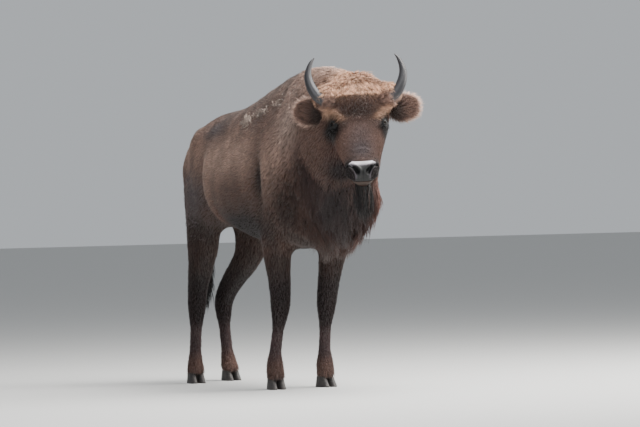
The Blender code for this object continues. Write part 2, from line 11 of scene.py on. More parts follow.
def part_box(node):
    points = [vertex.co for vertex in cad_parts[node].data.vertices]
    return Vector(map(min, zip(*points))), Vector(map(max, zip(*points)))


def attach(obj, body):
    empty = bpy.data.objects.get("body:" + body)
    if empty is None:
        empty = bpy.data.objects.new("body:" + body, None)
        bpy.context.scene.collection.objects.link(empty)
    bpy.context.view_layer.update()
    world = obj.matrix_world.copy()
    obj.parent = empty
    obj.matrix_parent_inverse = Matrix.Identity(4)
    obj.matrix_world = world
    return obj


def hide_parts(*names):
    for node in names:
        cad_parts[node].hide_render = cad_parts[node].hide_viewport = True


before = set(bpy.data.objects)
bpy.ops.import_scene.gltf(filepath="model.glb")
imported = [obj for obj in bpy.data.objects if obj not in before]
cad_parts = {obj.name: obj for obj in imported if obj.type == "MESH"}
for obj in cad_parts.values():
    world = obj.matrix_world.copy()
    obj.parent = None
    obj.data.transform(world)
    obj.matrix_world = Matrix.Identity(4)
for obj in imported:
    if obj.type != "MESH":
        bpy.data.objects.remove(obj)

bl_info = {
    "name": "Young wisent",
    "version": (1, 0, 0),
    "blender": (4, 5, 0),
    "location": "3D View > Sidebar > Wisent",
    "description": "Skin, coat, horns, eyes and hooves for a standing young wisent",
    "category": "Object",
}

# ---------------------------------------------------------------- places of the solids
HEAD_AT = Vector((-0.015, -1.120, 1.300))
HEAD_START = Vector((0, 0.030, -0.010))
HEAD_YAW = math.radians(-25)
HEAD_PITCH = math.radians(55)
HEAD_ROLL = math.radians(1.5)
EYE_AT = (0.110, 0.150, -0.024)
EYE_SET = (0.1065, 0.153, -0.027)   # the visible eyeball sits a little deeper than the solid one
EYE_BALL = 0.0195
GAZE = (0.85, 0.10, 0.50)
EYE_LINE = (-0.41, 0.73, 0.55)      # from the outer to the inner corner of the lids
EAR_AT = (0.200, 0.028, -0.094)
EAR_SPREAD = math.radians(14)
EAR_LIFT = math.radians(4)
EAR_FACING = math.radians(-35)
HORN_LINE = (
    (0.100, -0.018, 0.002), (0.130, -0.006, -0.003), (0.146, 0.002, -0.004), (0.176, 0.024, -0.002),
    (0.199, 0.062, 0.004), (0.210, 0.104, 0.014), (0.207, 0.138, 0.022), (0.195, 0.170, 0.030),
    (0.178, 0.193, 0.036),
)
HORN_TAPER = (1.06, 1.05, 1.0, 0.90, 0.78, 0.64, 0.48, 0.30, 0.06)
HORN_BASE_RADIUS = 0.0280
COLLAR_SHARE = 0.17                 # how much of the horn's length the hair grows over
# Joints of each leg from inside the body down to the coronet: height, x, y of the limb's middle.
LEG_JOINTS = {
    "fore_right": ((1.02, -0.150, -0.600), (0.62, -0.135, -0.530), (0.39, -0.120, -0.520),
                   (0.11, -0.130, -0.465), (0.045, -0.130, -0.475)),
    "fore_left": ((1.02, 0.150, -0.620), (0.62, 0.135, -0.555), (0.39, 0.120, -0.510),
                  (0.11, 0.125, -0.465), (0.045, 0.125, -0.475)),
    "hind_right": ((1.12, -0.100, 0.280), (0.69, -0.115, 0.285), (0.38, -0.108, 0.390),
                   (0.10, -0.118, 0.405), (0.045, -0.120, 0.395)),
    "hind_left": ((1.12, 0.100, 0.280), (0.66, 0.120, 0.250), (0.35, 0.095, 0.525),
                  (0.10, 0.102, 0.500), (0.045, 0.105, 0.480)),
}
TOE_OUT = {"fore": math.radians(7), "hind": math.radians(5)}
# Half width and half length of each claw at the sole and at the coronet, and how far it stands from its twin.
CLAW = (0.0190, 0.049)
CLAW_TOP = (0.0150, 0.028)
CLAW_SPREAD = 0.0205
CLAW_RINGS, CLAW_RING_HEIGHT = 5, 0.016
HORN_RINGS, HORN_RING_HEIGHT = 13, 0.022
HORN_FLUTES, HORN_FLUTE_DEPTH = 9, 0.012
# Outer and inner end of each nostril and brow in head space, and how strongly the line between them bends.
NOSTRIL_OUTER, NOSTRIL_INNER, NOSTRIL_BEND = (0.064, 0.378), (0.024, 0.413), 1.5
BROW_OUTER, BROW_INNER, BROW_BEND = (0.145, 0.040, -0.065), (0.065, 0.160, 0.005), 2.5
SOLE_HEIGHT = 0.050
DEWCLAW_HEIGHT = 0.105
DEWCLAW_OUT, DEWCLAW_BACK = 0.015, 0.020
DEWCLAW_SIZES = (0.0105, 0.011, 0.017)
LID_CORNER = 1.02                   # bearing at which the upper and lower lid meet
LID_OPENING = {"upper": 0.60, "lower": 0.42}
# Each ear: half length, half height, how much fuller the outer half is.
EAR_HALF_LENGTH, EAR_HALF_HEIGHT, EAR_FULLNESS = 0.074, 0.056, 0.10
BEARD_AT = (0.0, 0.384, -0.118)
BEARD_SPREAD = (0.034, 0.030, 0)
BEARD_LENGTH, BEARD_SHORTER_AT_EDGE = 0.195, 0.055
BEARD_LOCKS = 620
HORN_HAIR_LOCKS = 1500
# Balls of flesh in head space that close the sockets of beard, horns, ears and eyes: centre, half sizes.
CHIN_PLUG = ((0.0, 0.378, -0.118), (0.046, 0.046, 0.032))
SIDE_PLUGS = (
    ((0.138, -0.004, -0.018), (0.062, 0.062, 0.058)),
    ((0.122, 0.028, -0.098), (0.046, 0.042, 0.028)),
    ((0.100, 0.150, -0.038), (0.026, 0.026, 0.026)),
)
# A ball that closes each foot over its claws: how far back, height of its middle, half sizes.
FOOT_PLUG_BACK, FOOT_PLUG_HEIGHT, FOOT_PLUG_SIZES = 0.008, 0.058, (0.041, 0.041, 0.018)
SWELL = 0.0006                      # the flesh nodes grow by this much, so that touching ones overlap
MOST_TRIANGLES = 190000             # in one piece of the coat
FLESH = ("trunk", "neck", "head", "foreleg_left", "foreleg_right", "hindleg_left", "hindleg_right",
         "tail", "tail_tuft")
BAKE_MAP = "OFBake"
PATCH = 0.003              # width of each lock's patch on that map

# ---------------------------------------------------------------- the coat by region
# hair length, lock width, lift (height over length), curl, locks per square metre, depth of the coat
STYLES = {
    "flank": (0.024, 0.0026, 0.17, 0.20, 52000, 0.0065),
    "back": (0.022, 0.0025, 0.16, 0.12, 52000, 0.0060),
    "rump": (0.023, 0.0026, 0.16, 0.15, 52000, 0.0060),
    "thigh": (0.029, 0.0031, 0.22, 0.90, 44000, 0.0070),
    "shoulder": (0.032, 0.0030, 0.22, 0.75, 42000, 0.0090),
    "neck": (0.041, 0.0033, 0.24, 0.90, 28000, 0.012),
    "mane": (0.078, 0.0034, 0.15, 0.60, 20000, 0.018),
    "under": (0.026, 0.0030, 0.18, 0.20, 40000, 0.0080),
    "belly": (0.029, 0.0030, 0.13, 0.25, 32000, 0.0080),
    "upper_leg": (0.028, 0.0030, 0.20, 0.55, 42000, 0.0060),
    "leg": (0.018, 0.0025, 0.26, 0.30, 58000, 0.0040),
    "foot": (0.027, 0.0028, 0.20, 0.15, 62000, 0.0035),
    "fringe": (0.150, 0.0042, 0.08, 0.45, 15000, 0.020),
    "tail": (0.028, 0.0028, 0.12, 0.08, 50000, 0.0050),
    "tuft": (0.130, 0.0040, 0.08, 0.25, 32000, 0.014),
    "temple": (0.030, 0.0028, 0.50, 0.80, 70000, 0.004),
    "crown": (0.034, 0.0026, 0.34, 1.30, 62000, 0.018),
    "forehead": (0.026, 0.0028, 0.45, 1.10, 70000, 0.011),
    "cheek": (0.021, 0.0026, 0.20, 0.25, 66000, 0.0055),
    "face": (0.015, 0.0025, 0.14, 0.20, 125000, 0.0035),
    "brow": (0.027, 0.0026, 0.45, 0.40, 90000, 0.0080),
    "muzzle": (0.006, 0.0014, 0.25, 0.00, 160000, 0.0018),
    "orbit": (0.007, 0.0016, 0.20, 0.00, 170000, 0.0022),
    "bare": (0.004, 0.0015, 0.20, 0.00, 0, 0.0004),
}
# Locks by length: the shortest length of each band and the rings in its locks.
BANDS = ((0.0, 1), (0.030, 2), (0.042, 3), (0.075, 4))
# Swellings and hollows of the body: centre (x on both sides), half sizes, height.
BODY_RELIEF = (
    ((0.235, -0.535, 0.960), (0.09, 0.046, 0.13), -0.026),
    ((0.225, -0.650, 0.960), (0.09, 0.050, 0.22), 0.012),
    ((0.185, -0.700, 0.750), (0.08, 0.060, 0.09), 0.008),
    ((0.230, -0.300, 0.930), (0.10, 0.160, 0.14), 0.008),
    ((0.205, -0.030, 0.920), (0.08, 0.030, 0.17), 0.018),
    ((0.205, 0.070, 0.960), (0.08, 0.034, 0.14), -0.022),
    ((0.155, 0.040, 1.170), (0.06, 0.070, 0.04), 0.010),
    ((0.170, -0.140, 1.130), (0.07, 0.110, 0.06), -0.010),
    ((0.200, 0.190, 0.960), (0.08, 0.080, 0.12), 0.006),
    ((0.200, -0.790, 1.080), (0.09, 0.045, 0.22), -0.009),
)
# Shed winter wool that still hangs on the right side: centre, half sizes, locks per square metre.
WOOL = (
    ((-0.175, -0.340, 1.225), (0.025, 0.035, 0.020), 45000),
    ((-0.165, -0.470, 1.262), (0.025, 0.060, 0.012), 20000),
    ((-0.150, -0.610, 1.300), (0.025, 0.060, 0.012), 20000),
    ((-0.125, -0.720, 1.350), (0.040, 0.060, 0.025), 12000),
)
# Clotted hair on both thighs, in the same form.
CLOTS = (
    ((0.190, 0.220, 0.900), (0.060, 0.080, 0.060), 7000),
    ((0.170, 0.280, 0.800), (0.060, 0.080, 0.060), 9000),
)
# The coat's tones as display values from 0 to 255, and how much brighter a lock is painted than its tone,
# because the coat shades itself.
COAT_GAIN = 1.1
BROWN = (110, 85, 75)
TAN = (175, 145, 130)
GREY_BROWN = (150, 130, 120)
SLATE = (90, 80, 80)
UMBER = (60, 45, 40)
DARK = (40, 30, 30)
BLACK_BROWN = (25, 20, 20)
STRAW = (215, 170, 140)
RUST = (105, 70, 60)
MUD_GREY = (80, 65, 65)
# pale grey of the nose pad's top, brightened with a painted wet highlight
PALE_PAD_WITH_HIGHLIGHT = (175, 170, 175)
PAD_GREY = (80, 75, 80)
PAD_DARK = (40, 40, 40)
LIP = (60, 50, 45)
BARE_BLACK = (15, 15, 15)
WOOL_GREY = (135, 120, 110)
WHISKER = (50, 45, 45)
# Body markings, laid one over another, among them painted shadow in the hollow that lies behind the shoulder
# and painted highlights on the ridges of the shoulder and of the flank's fold: name, tone, centre (x on both
# sides), half sizes, strength.
BODY_MARKS = (
    ("back", GREY_BROWN, (0.00, -0.25, 1.36), (0.16, 0.60, 0.13), 0.9),
    ("upper flank", TAN, (0.24, -0.20, 1.06), (0.14, 0.35, 0.14), 0.9),
    ("lower flank", BROWN, (0.25, -0.35, 0.90), (0.14, 0.24, 0.08), 0.8),
    ("hip", SLATE, (0.16, 0.02, 1.19), (0.09, 0.10, 0.05), 0.9),
    ("rump", TAN, (0.10, 0.34, 1.16), (0.15, 0.18, 0.12), 1.0),
    ("thigh", SLATE, (0.20, 0.22, 0.88), (0.12, 0.20, 0.12), 0.9),
    ("gaskin", UMBER, (0.15, 0.28, 0.73), (0.16, 0.24, 0.12), 1.0),
    ("belly", DARK, (0.16, -0.34, 0.74), (0.24, 0.36, 0.11), 1.0),
    # painted highlight: tan along the ridge of the flank's fold, over the relief's swelling there
    ("painted highlight on the fold's ridge", TAN, (0.21, -0.03, 0.92), (0.06, 0.04, 0.14), 0.7),
    ("flank fold", RUST, (0.19, -0.04, 0.79), (0.06, 0.05, 0.06), 0.6),
    # painted shadow: near-black over the hollow that lies behind the shoulder, on both sides
    ("painted shadow behind the shoulder", BLACK_BROWN, (0.25, -0.54, 0.96), (0.08, 0.045, 0.11), 1.0),
    # painted highlight: tan along the ridge of the shoulder, over the relief's swelling there
    ("painted highlight on the shoulder's ridge", TAN, (0.22, -0.66, 1.02), (0.07, 0.06, 0.16), 0.6),
    ("lower shoulder", UMBER, (0.21, -0.76, 0.83), (0.12, 0.14, 0.18), 0.9),
    ("hump side", GREY_BROWN, (0.17, -0.74, 1.22), (0.09, 0.10, 0.14), 0.8),
    ("hump top", TAN, (0.00, -0.82, 1.44), (0.12, 0.16, 0.07), 0.8),
    ("neck", DARK, (0.19, -0.92, 1.00), (0.12, 0.10, 0.20), 0.7),
    ("chest", DARK, (0.07, -1.00, 0.80), (0.22, 0.15, 0.26), 0.9),
    ("brisket", UMBER, (0.00, -0.86, 0.67), (0.28, 0.24, 0.11), 1.0),
)
# Head markings in head space, in the same form; the jaw and chin marks are painted shade.
HEAD_MARKS = (
    ("cheek", RUST, (0.11, 0.20, -0.12), (0.05, 0.10, 0.08), 0.5),
    ("crown", STRAW, (0.00, -0.07, 0.00), (0.20, 0.06, 0.12), 1.0),
    ("forehead", UMBER, (0.00, 0.10, 0.03), (0.10, 0.06, 0.06), 0.8),
    ("nose bridge", SLATE, (0.00, 0.21, 0.00), (0.060, 0.06, 0.05), 0.5),
    ("nose", SLATE, (0.00, 0.30, 0.00), (0.06, 0.06, 0.05), 0.9),
    ("whisker pad", WHISKER, (0.060, 0.40, -0.05), (0.060, 0.060, 0.07), 1.3),
    # painted shade: dark under the jaw, growing from the cheek down to the throat
    ("jaw", DARK, (0.06, 0.26, -0.21), (0.12, 0.18, 0.09), 1.0),
    # painted shadow under the lower lip, above the dark beard
    ("chin", DARK, (0.00, 0.425, -0.13), (0.06, 0.05, 0.03), 0.9),
)
# The dark patch round the eye, laid over the brow, dark hair deepened with painted shade in the socket under
# the brow: centre, half sizes.
DARK_EYE_AND_SOCKET_SHADE = ((0.120, 0.158, -0.042), (0.052, 0.056, 0.068))
# How the hair lies, laid over one another: away from the midline, along +Y, upwards.
BODY_LIE = {
    "back": (0.0, 1.0, -0.12),
    "rump": (0.1, 0.5, -0.8),
    "shoulder": (0.0, 0.42, -1.0),
    "neck": (0.0, 0.25, -1.0),
    "mane": (0.0, 0.02, -1.0),
    "upper_leg": (0.0, 0.12, -1.0),
    "tail": (0.0, 0.03, -1.0),
}
# The same in head space: away from the midline, down the face, off the face.
HEAD_LIE = {
    "cheek": (0.2, 0.45, -1.0),
    "face": (0.55, 0.9, -0.1),
    "forehead": (0.35, 1.0, 0.0),
    "crown": (0.25, 1.0, 0.05),
    "temple": (1.0, 0.1, 0.1),
    "brow": (0.9, 0.55, 0.1),
    "orbit": (0.8, 0.2, -0.6),
    "muzzle": (0.6, -0.5, -0.8),
}
# The ear's hair inside the cup, on its back and at its rim, in the form of the styles.
EAR_STYLES = {
    "inside": (0.026, 0.0026, 0.70, 1.30, 90000, 0),
    "back": (0.017, 0.0026, 0.25, 0.30, 70000, 0),
    "rim": (0.027, 0.0028, 0.50, 1.00, 110000, 0),
}
LOCK_WAVES, LOCK_SWING = 1.15, 0.16  # waves along a lock and how far they swing, in lock lengths
ROOT_DEPTH = 0.0012                 # how far a lock starts under the skin
FLOOR_GAP = 0.004                   # the lowest that a lock may hang
# The axes that parts of the skin are rolled out round for the bake map, and where along them each starts
# and how long it is.
TRUNK_AXIS_Z, HEAD_AXIS_OFF_FACE, TAIL_AXIS_Y = 1.0, -0.09, 0.512
ROLLED = {"trunk": (-1.2, 1.72), "head": (-0.12, 0.58), "tail": (0.40, 0.75), "leg": (0.0, 0.82)}
# Where each part of the skin lies on the bake map: left, bottom, width, height.
CHARTS = {
    "trunk": (0.02, 0.02, 0.58, 0.58),
    "head": (0.64, 0.02, 0.34, 0.34),
    "tail": (0.64, 0.40, 0.10, 0.20),
    "fore_right": (0.02, 0.64, 0.16, 0.34),
    "fore_left": (0.21, 0.64, 0.16, 0.34),
    "hind_right": (0.40, 0.64, 0.16, 0.34),
    "hind_left": (0.59, 0.64, 0.16, 0.34),
    "ear_left": (0.78, 0.40, 0.09, 0.16),
    "ear_right": (0.89, 0.40, 0.09, 0.16),
    "ear_left_back": (0.78, 0.60, 0.09, 0.16),
    "ear_right_back": (0.89, 0.60, 0.09, 0.16),
}

# ---------------------------------------------------------------- the studio
CAMERA_AZIMUTH, CAMERA_ELEVATION, CAMERA_ROLL = -27, 0.6, 1.5
CAMERA_AIM = (0.23, -0.25, 0.79)
CAMERA_DISTANCE, FRAME_WIDTH, SENSOR_WIDTH = 20.0, 2.96, 36.0
CLIP_END = 60.0
FLOOR_HALF, FLOOR_LINES = 70, 15
SKY_COLOUR, SKY_STRENGTH = (0.80, 0.84, 0.88, 1), 0.60
LAMP_TARGET = (0, -0.2, 0.8)
# Lamps besides the overhead one: name, place, size, watts, colour.
SIDE_LAMPS = (
    ("front", (-3.6, -4.2, 2.6), 3.0, 130.0, (0.95, 0.97, 1.0)),
    ("side", (4.0, -1.6, 2.4), 2.5, 240.0, (1.0, 0.97, 0.93)),
)


# ---------------------------------------------------------------- settings
class SkinSettings(bpy.types.PropertyGroup):
    grain: FloatProperty(name="Grain", description="Size of the skin's faces on the body", default=0.0112,
                         unit="LENGTH", min=0.006)
    nose_roughness: FloatProperty(name="Nose roughness", description="Roughness of the bare nose",
                                  default=0.5)


class CoatSettings(bpy.types.PropertyGroup):
    seed: IntProperty(name="Seed", description="Start of the random draws", default=11)
    fullness: FloatProperty(name="Fullness", description="Share of the planned locks", default=1.0)
    length: FloatProperty(name="Length", description="Scale of every lock's length", default=1.0)


class HornSettings(bpy.types.PropertyGroup):
    colour: FloatVectorProperty(name="Horn", description="Colour of the horn's middle", subtype="COLOR",
                                size=3, default=(0.020, 0.019, 0.022))


class StageSettings(bpy.types.PropertyGroup):
    key: FloatProperty(name="Overhead light", description="Strength of the large overhead light",
                       default=800.0, unit="POWER")
    floor: FloatVectorProperty(name="Floor", description="Colour of the floor", subtype="COLOR", size=3,
                               default=(0.52, 0.52, 0.51))


# ---------------------------------------------------------------- small tools
def head_space():
    """Matrix from head space to anatomy space."""
    ahead = Vector((math.sin(HEAD_YAW), -math.cos(HEAD_YAW), 0))
    left = Vector((-ahead.y, ahead.x, 0))
    down = ahead * math.cos(HEAD_PITCH) + Vector((0, 0, -1)) * math.sin(HEAD_PITCH)
    off = ahead * math.sin(HEAD_PITCH) + Vector((0, 0, 1)) * math.cos(HEAD_PITCH)
    turn = Matrix((left, down, off)).transposed().to_4x4()
    return (Matrix.Translation(HEAD_AT) @ Matrix.Rotation(HEAD_ROLL, 4, ahead) @ turn
            @ Matrix.Translation(-HEAD_START))


HEAD = head_space()
HEAD_AXES = np.array(HEAD.to_3x3())
HEAD_ORIGIN = np.array(HEAD.translation)
EYE_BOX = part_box("eye_left")
SHIFT = np.array((EYE_BOX[0] + EYE_BOX[1]) / 2 - HEAD @ Vector(EYE_AT))


def to_head(points):
    return (points - HEAD_ORIGIN) @ HEAD_AXES


def from_head(points):
    return np.asarray(points) @ HEAD_AXES.T + HEAD_ORIGIN


def leg_middle(foot, heights):
    """The middle of a leg at the given heights, straight from joint to joint: x and y."""
    level, x, y = np.array(LEG_JOINTS[foot][::-1]).T
    return np.interp(heights, level, x), np.interp(heights, level, y)


def ramp(x, start, end):
    """0 before start, 1 after end, and an S-curve between them."""
    t = np.clip((x - start) / (end - start), 0, 1)
    return t * t * (3 - 2 * t)


def blob(points, centre, sizes):
    """1 at the centre, falling as a bell with the distance measured in half sizes."""
    return np.exp(-(((points - centre) / sizes) ** 2).sum(axis=1))


def bell(value, width, power=2):
    """1 where the value is zero, falling to both sides as a bell of this half width."""
    return np.exp(-(value / width) ** power)


def one_side(points):
    """The points with the right side laid over the left: x becomes the distance from the middle."""
    return np.abs(points * (1, 0, 0)) + points * (0, 1, 1)


def ripple(points, size, seed, waves=7):
    """Smooth noise from -1 to 1: the mean of sine waves of about one length in random directions."""
    rng = np.random.default_rng(seed)
    total = np.zeros(len(points))
    for _ in range(waves):
        way = rng.normal(size=3)
        way *= 2 * np.pi / size / np.linalg.norm(way) * rng.uniform(0.7, 1.4)
        total += np.sin(points @ way + rng.uniform(0, 2 * np.pi))
    return np.clip(total / math.sqrt(waves), -1.6, 1.6) / 1.6


def linear(colour):
    """Display values from 0 to 255 as linear light."""
    return (np.asarray(colour, float) / 255) ** 2.2


def unit(vectors):
    return vectors / np.maximum(np.linalg.norm(vectors, axis=-1, keepdims=True), 1e-9)


def smooth_rows(rows, count):
    """Stations on a smooth curve through the rows, evenly spaced by row number (cubic Hermite)."""
    rows = np.array(rows, float)
    slopes = np.gradient(rows, axis=0)
    at = np.linspace(0, len(rows) - 1, count)
    k = np.minimum(at.astype(int), len(rows) - 2)
    t = (at - k)[:, None]
    return ((2 * t**3 - 3 * t**2 + 1) * rows[k] + (t**3 - 2 * t**2 + t) * slopes[k]
            + (3 * t**2 - 2 * t**3) * rows[k + 1] + (t**3 - t**2) * slopes[k + 1])


def grid_faces(rows, columns):
    """Quads of a grid of rows closed across its columns."""
    i, j = np.meshgrid(np.arange(rows - 1), np.arange(columns), indexing="ij")
    a, b = i * columns + j, i * columns + (j + 1) % columns
    return np.stack([a, b, b + columns, a + columns], axis=-1).reshape(-1, 4)


def tube_faces(rows, columns):
    """Triangles of a grid of closed rows, with a fan at each end to one of two points after the grid's."""
    quads = grid_faces(rows, columns)
    n = np.arange(columns)
    m = (n + 1) % columns
    last = (rows - 1) * columns
    start = np.stack([np.full(columns, rows * columns), m, n], axis=1)
    end = np.stack([np.full(columns, rows * columns + 1), last + n, last + m], axis=1)
    return np.concatenate([quads[:, [0, 1, 2]], quads[:, [0, 2, 3]], start, end])


def write_attribute(mesh, name, values):
    """Stores a number, a vector or a colour at every point."""
    values = np.asarray(values, np.float32)
    width = 1 if values.ndim == 1 else values.shape[1]
    kind, key = {1: ("FLOAT", "value"), 3: ("FLOAT_VECTOR", "vector"), 4: ("FLOAT_COLOR", "color")}[width]
    mesh.attributes.new(name, kind, "POINT").data.foreach_set(key, values.ravel())


def gathered(items, key, width, kind=np.float32):
    """One value of every item as an array with a row for each."""
    values = np.empty(len(items) * width, kind)
    items.foreach_get(key, values)
    return values.reshape(-1, width)


def points_of(mesh):
    return gathered(mesh.vertices, "co", 3).astype(float) - SHIFT


def normals_of(mesh):
    return gathered(mesh.vertices, "normal", 3).astype(float)


def edges_of(mesh):
    return gathered(mesh.edges, "vertices", 2, np.int32)


def triangles_of(mesh):
    return gathered(mesh.polygons, "vertices", 3, np.int32)


def unwrap_of(mesh):
    return gathered(mesh.uv_layers[BAKE_MAP].data, "uv", 2)


def write_unwrap(mesh, corners):
    mesh.uv_layers.new(name=BAKE_MAP).data.foreach_set("uv", corners.astype(np.float32).ravel())


def with_alpha(colour):
    return np.concatenate([colour, np.ones((len(colour), 1))], axis=1)


def made_object(name, points, triangles, material=None):
    """A mesh object at the origin from arrays in anatomy space."""
    mesh = bpy.data.meshes.new(name)
    triangles = np.asarray(triangles, np.int32)
    mesh.vertices.add(len(points))
    mesh.vertices.foreach_set("co", (np.asarray(points) + SHIFT).astype(np.float32).ravel())
    width = triangles.shape[1]
    mesh.loops.add(triangles.size)
    mesh.loops.foreach_set("vertex_index", triangles.ravel())
    mesh.polygons.add(len(triangles))
    mesh.polygons.foreach_set("loop_start", np.arange(0, triangles.size, width, dtype=np.int32))
    mesh.update(calc_edges=True)
    mesh.shade_smooth()
    obj = bpy.data.objects.new(name, mesh)
    bpy.context.scene.collection.objects.link(obj)
    if material:
        mesh.materials.append(material)
    return obj


def turned(vectors, matrix):
    return np.asarray(vectors) @ np.array(matrix.to_3x3()).T


def lofted(name, rings, material):
    """A closed tube through rings of points, each end closed with a fan to its middle."""
    rows, columns = rings.shape[:2]
    points = np.concatenate([rings.reshape(-1, 3), rings[:1].mean(axis=1), rings[-1:].mean(axis=1)])
    faces = tube_faces(rows, columns)
    centre = points[faces].mean(axis=1)
    spine = rings.mean(axis=1)
    nearest = spine[np.linalg.norm(centre[:, None] - spine[None], axis=2).argmin(axis=1)]
    a, b, c = points[faces.T]
    normal = np.cross(b - a, c - a)
    if ((centre - nearest) * normal).sum() < 0:
        faces = faces[:, ::-1]
    return made_object(name, points, faces, material)


# ---------------------------------------------------------------- materials
def shader_group(name, inputs, outputs):
    """An empty node group with named sockets, and its two ends."""
    group = bpy.data.node_groups.new(name, "ShaderNodeTree")
    for socket, kind, default in inputs:
        made = group.interface.new_socket(socket, in_out="INPUT", socket_type=kind)
        if default is not None:
            made.default_value = default
    for socket, kind in outputs:
        group.interface.new_socket(socket, in_out="OUTPUT", socket_type=kind)
    return group, group.nodes.new("NodeGroupInput"), group.nodes.new("NodeGroupOutput")


def hair_grain_group():
    """Fine light and dark hairs: noise on the given coordinates tints the colour and gives a height."""
    group, ends_in, ends_out = shader_group(
        "hair_grain",
        (("Colour", "NodeSocketColor", (1, 1, 1, 1)), ("Place", "NodeSocketVector", None),
         ("Scale", "NodeSocketFloat", 300.0), ("Amount", "NodeSocketFloat", 0.3)),
        (("Colour", "NodeSocketColor"), ("Height", "NodeSocketFloat")))
    noise = group.nodes.new("ShaderNodeTexNoise")
    noise.inputs["Detail"].default_value = 2.0
    shade = group.nodes.new("ShaderNodeMapRange")
    shade.inputs["From Min"].default_value = 0.3
    shade.inputs["From Max"].default_value = 0.7
    low = group.nodes.new("ShaderNodeMath")
    low.operation = "SUBTRACT"
    low.inputs[0].default_value = 1.0
    high = group.nodes.new("ShaderNodeMath")
    high.operation = "ADD"
    high.inputs[0].default_value = 1.0
    tint = group.nodes.new("ShaderNodeVectorMath")
    tint.operation = "SCALE"
    link = group.links.new
    link(ends_in.outputs["Place"], noise.inputs["Vector"])
    link(ends_in.outputs["Scale"], noise.inputs["Scale"])
    link(noise.outputs["Fac"], shade.inputs["Value"])
    link(ends_in.outputs["Amount"], low.inputs[1])
    link(ends_in.outputs["Amount"], high.inputs[1])
    link(low.outputs[0], shade.inputs["To Min"])
    link(high.outputs[0], shade.inputs["To Max"])
    link(ends_in.outputs["Colour"], tint.inputs[0])
    link(shade.outputs["Result"], tint.inputs["Scale"])
    link(tint.outputs["Vector"], ends_out.inputs["Colour"])
    link(noise.outputs["Fac"], ends_out.inputs["Height"])
    return group


def new_material(name, roughness, colour=None):
    made = bpy.data.materials.new(name)
    made.use_nodes = True
    shader = made.node_tree.nodes["Principled BSDF"]
    shader.inputs["Roughness"].default_value = roughness
    if colour is not None:
        shader.inputs["Base Color"].default_value = (*colour, 1.0)
    return made, made.node_tree, shader


def named(tree, attribute):
    node = tree.nodes.new("ShaderNodeAttribute")
    node.attribute_name = attribute
    return node


def tone_ramp(tree, value, stops):
    """The colour that a value from 0 to 1 gets from stops of place and colour."""
    node = tree.nodes.new("ShaderNodeValToRGB")
    marks = node.color_ramp.elements
    for n, (place, colour) in enumerate(stops):
        mark = marks[n] if n < 2 else marks.new(place)
        mark.position = place
        mark.color = (*colour, 1)
    tree.links.new(value, node.inputs["Fac"])
    return node.outputs["Color"]


def mapped(tree, value, low, high):
    """A value from 0 to 1 carried over to the range from low to high."""
    node = tree.nodes.new("ShaderNodeMapRange")
    node.inputs["To Min"].default_value = low
    node.inputs["To Max"].default_value = high
    tree.links.new(value, node.inputs["Value"])
    return node.outputs["Result"]


def bumped(tree, shader, height, strength, distance):
    bump = tree.nodes.new("ShaderNodeBump")
    bump.inputs["Strength"].default_value = strength
    bump.inputs["Distance"].default_value = distance
    tree.links.new(height, bump.inputs["Height"])
    tree.links.new(bump.outputs["Normal"], shader.inputs["Normal"])


def coat_material(name, place, scale, amount, strength, distance):
    """Matt hair: the painted colour under fine hair grain on the given coordinates."""
    made, tree, shader = new_material(name, 0.72)
    shader.inputs["Specular IOR Level"].default_value = 0.25
    shader.inputs["Sheen Weight"].default_value = 0.12
    shader.inputs["Sheen Roughness"].default_value = 0.5
    grain = tree.nodes.new("ShaderNodeGroup")
    grain.node_tree = bpy.data.node_groups.get("hair_grain") or hair_grain_group()
    grain.inputs["Scale"].default_value = scale
    grain.inputs["Amount"].default_value = amount
    tree.links.new(named(tree, "coat_colour").outputs["Color"], grain.inputs["Colour"])
    if place == "object":
        where = tree.nodes.new("ShaderNodeTexCoord").outputs["Object"]
    else:
        where = named(tree, place).outputs["Vector"]
    tree.links.new(where, grain.inputs["Place"])
    tree.links.new(grain.outputs["Colour"], shader.inputs["Base Color"])
    bumped(tree, shader, grain.outputs["Height"], strength, distance)
    return made, tree, shader


def skin_material():
    """The coat's colour between the locks, darkened there as painted shade, and pebbled bare skin where the
    bare mask says.
    """
    made, tree, shader = coat_material("skin", "object", 420.0, 0.35, 0.35, 0.0015)
    shader.inputs["Sheen Weight"].default_value = 0.0
    bare = named(tree, "bare").outputs["Fac"]
    gloss = mapped(tree, bare, 0.8, bpy.context.scene.wisent_skin.nose_roughness)
    tree.links.new(gloss, shader.inputs["Roughness"])
    tree.links.new(mapped(tree, bare, 0.06, 0.25), shader.inputs["Specular IOR Level"])
    return made


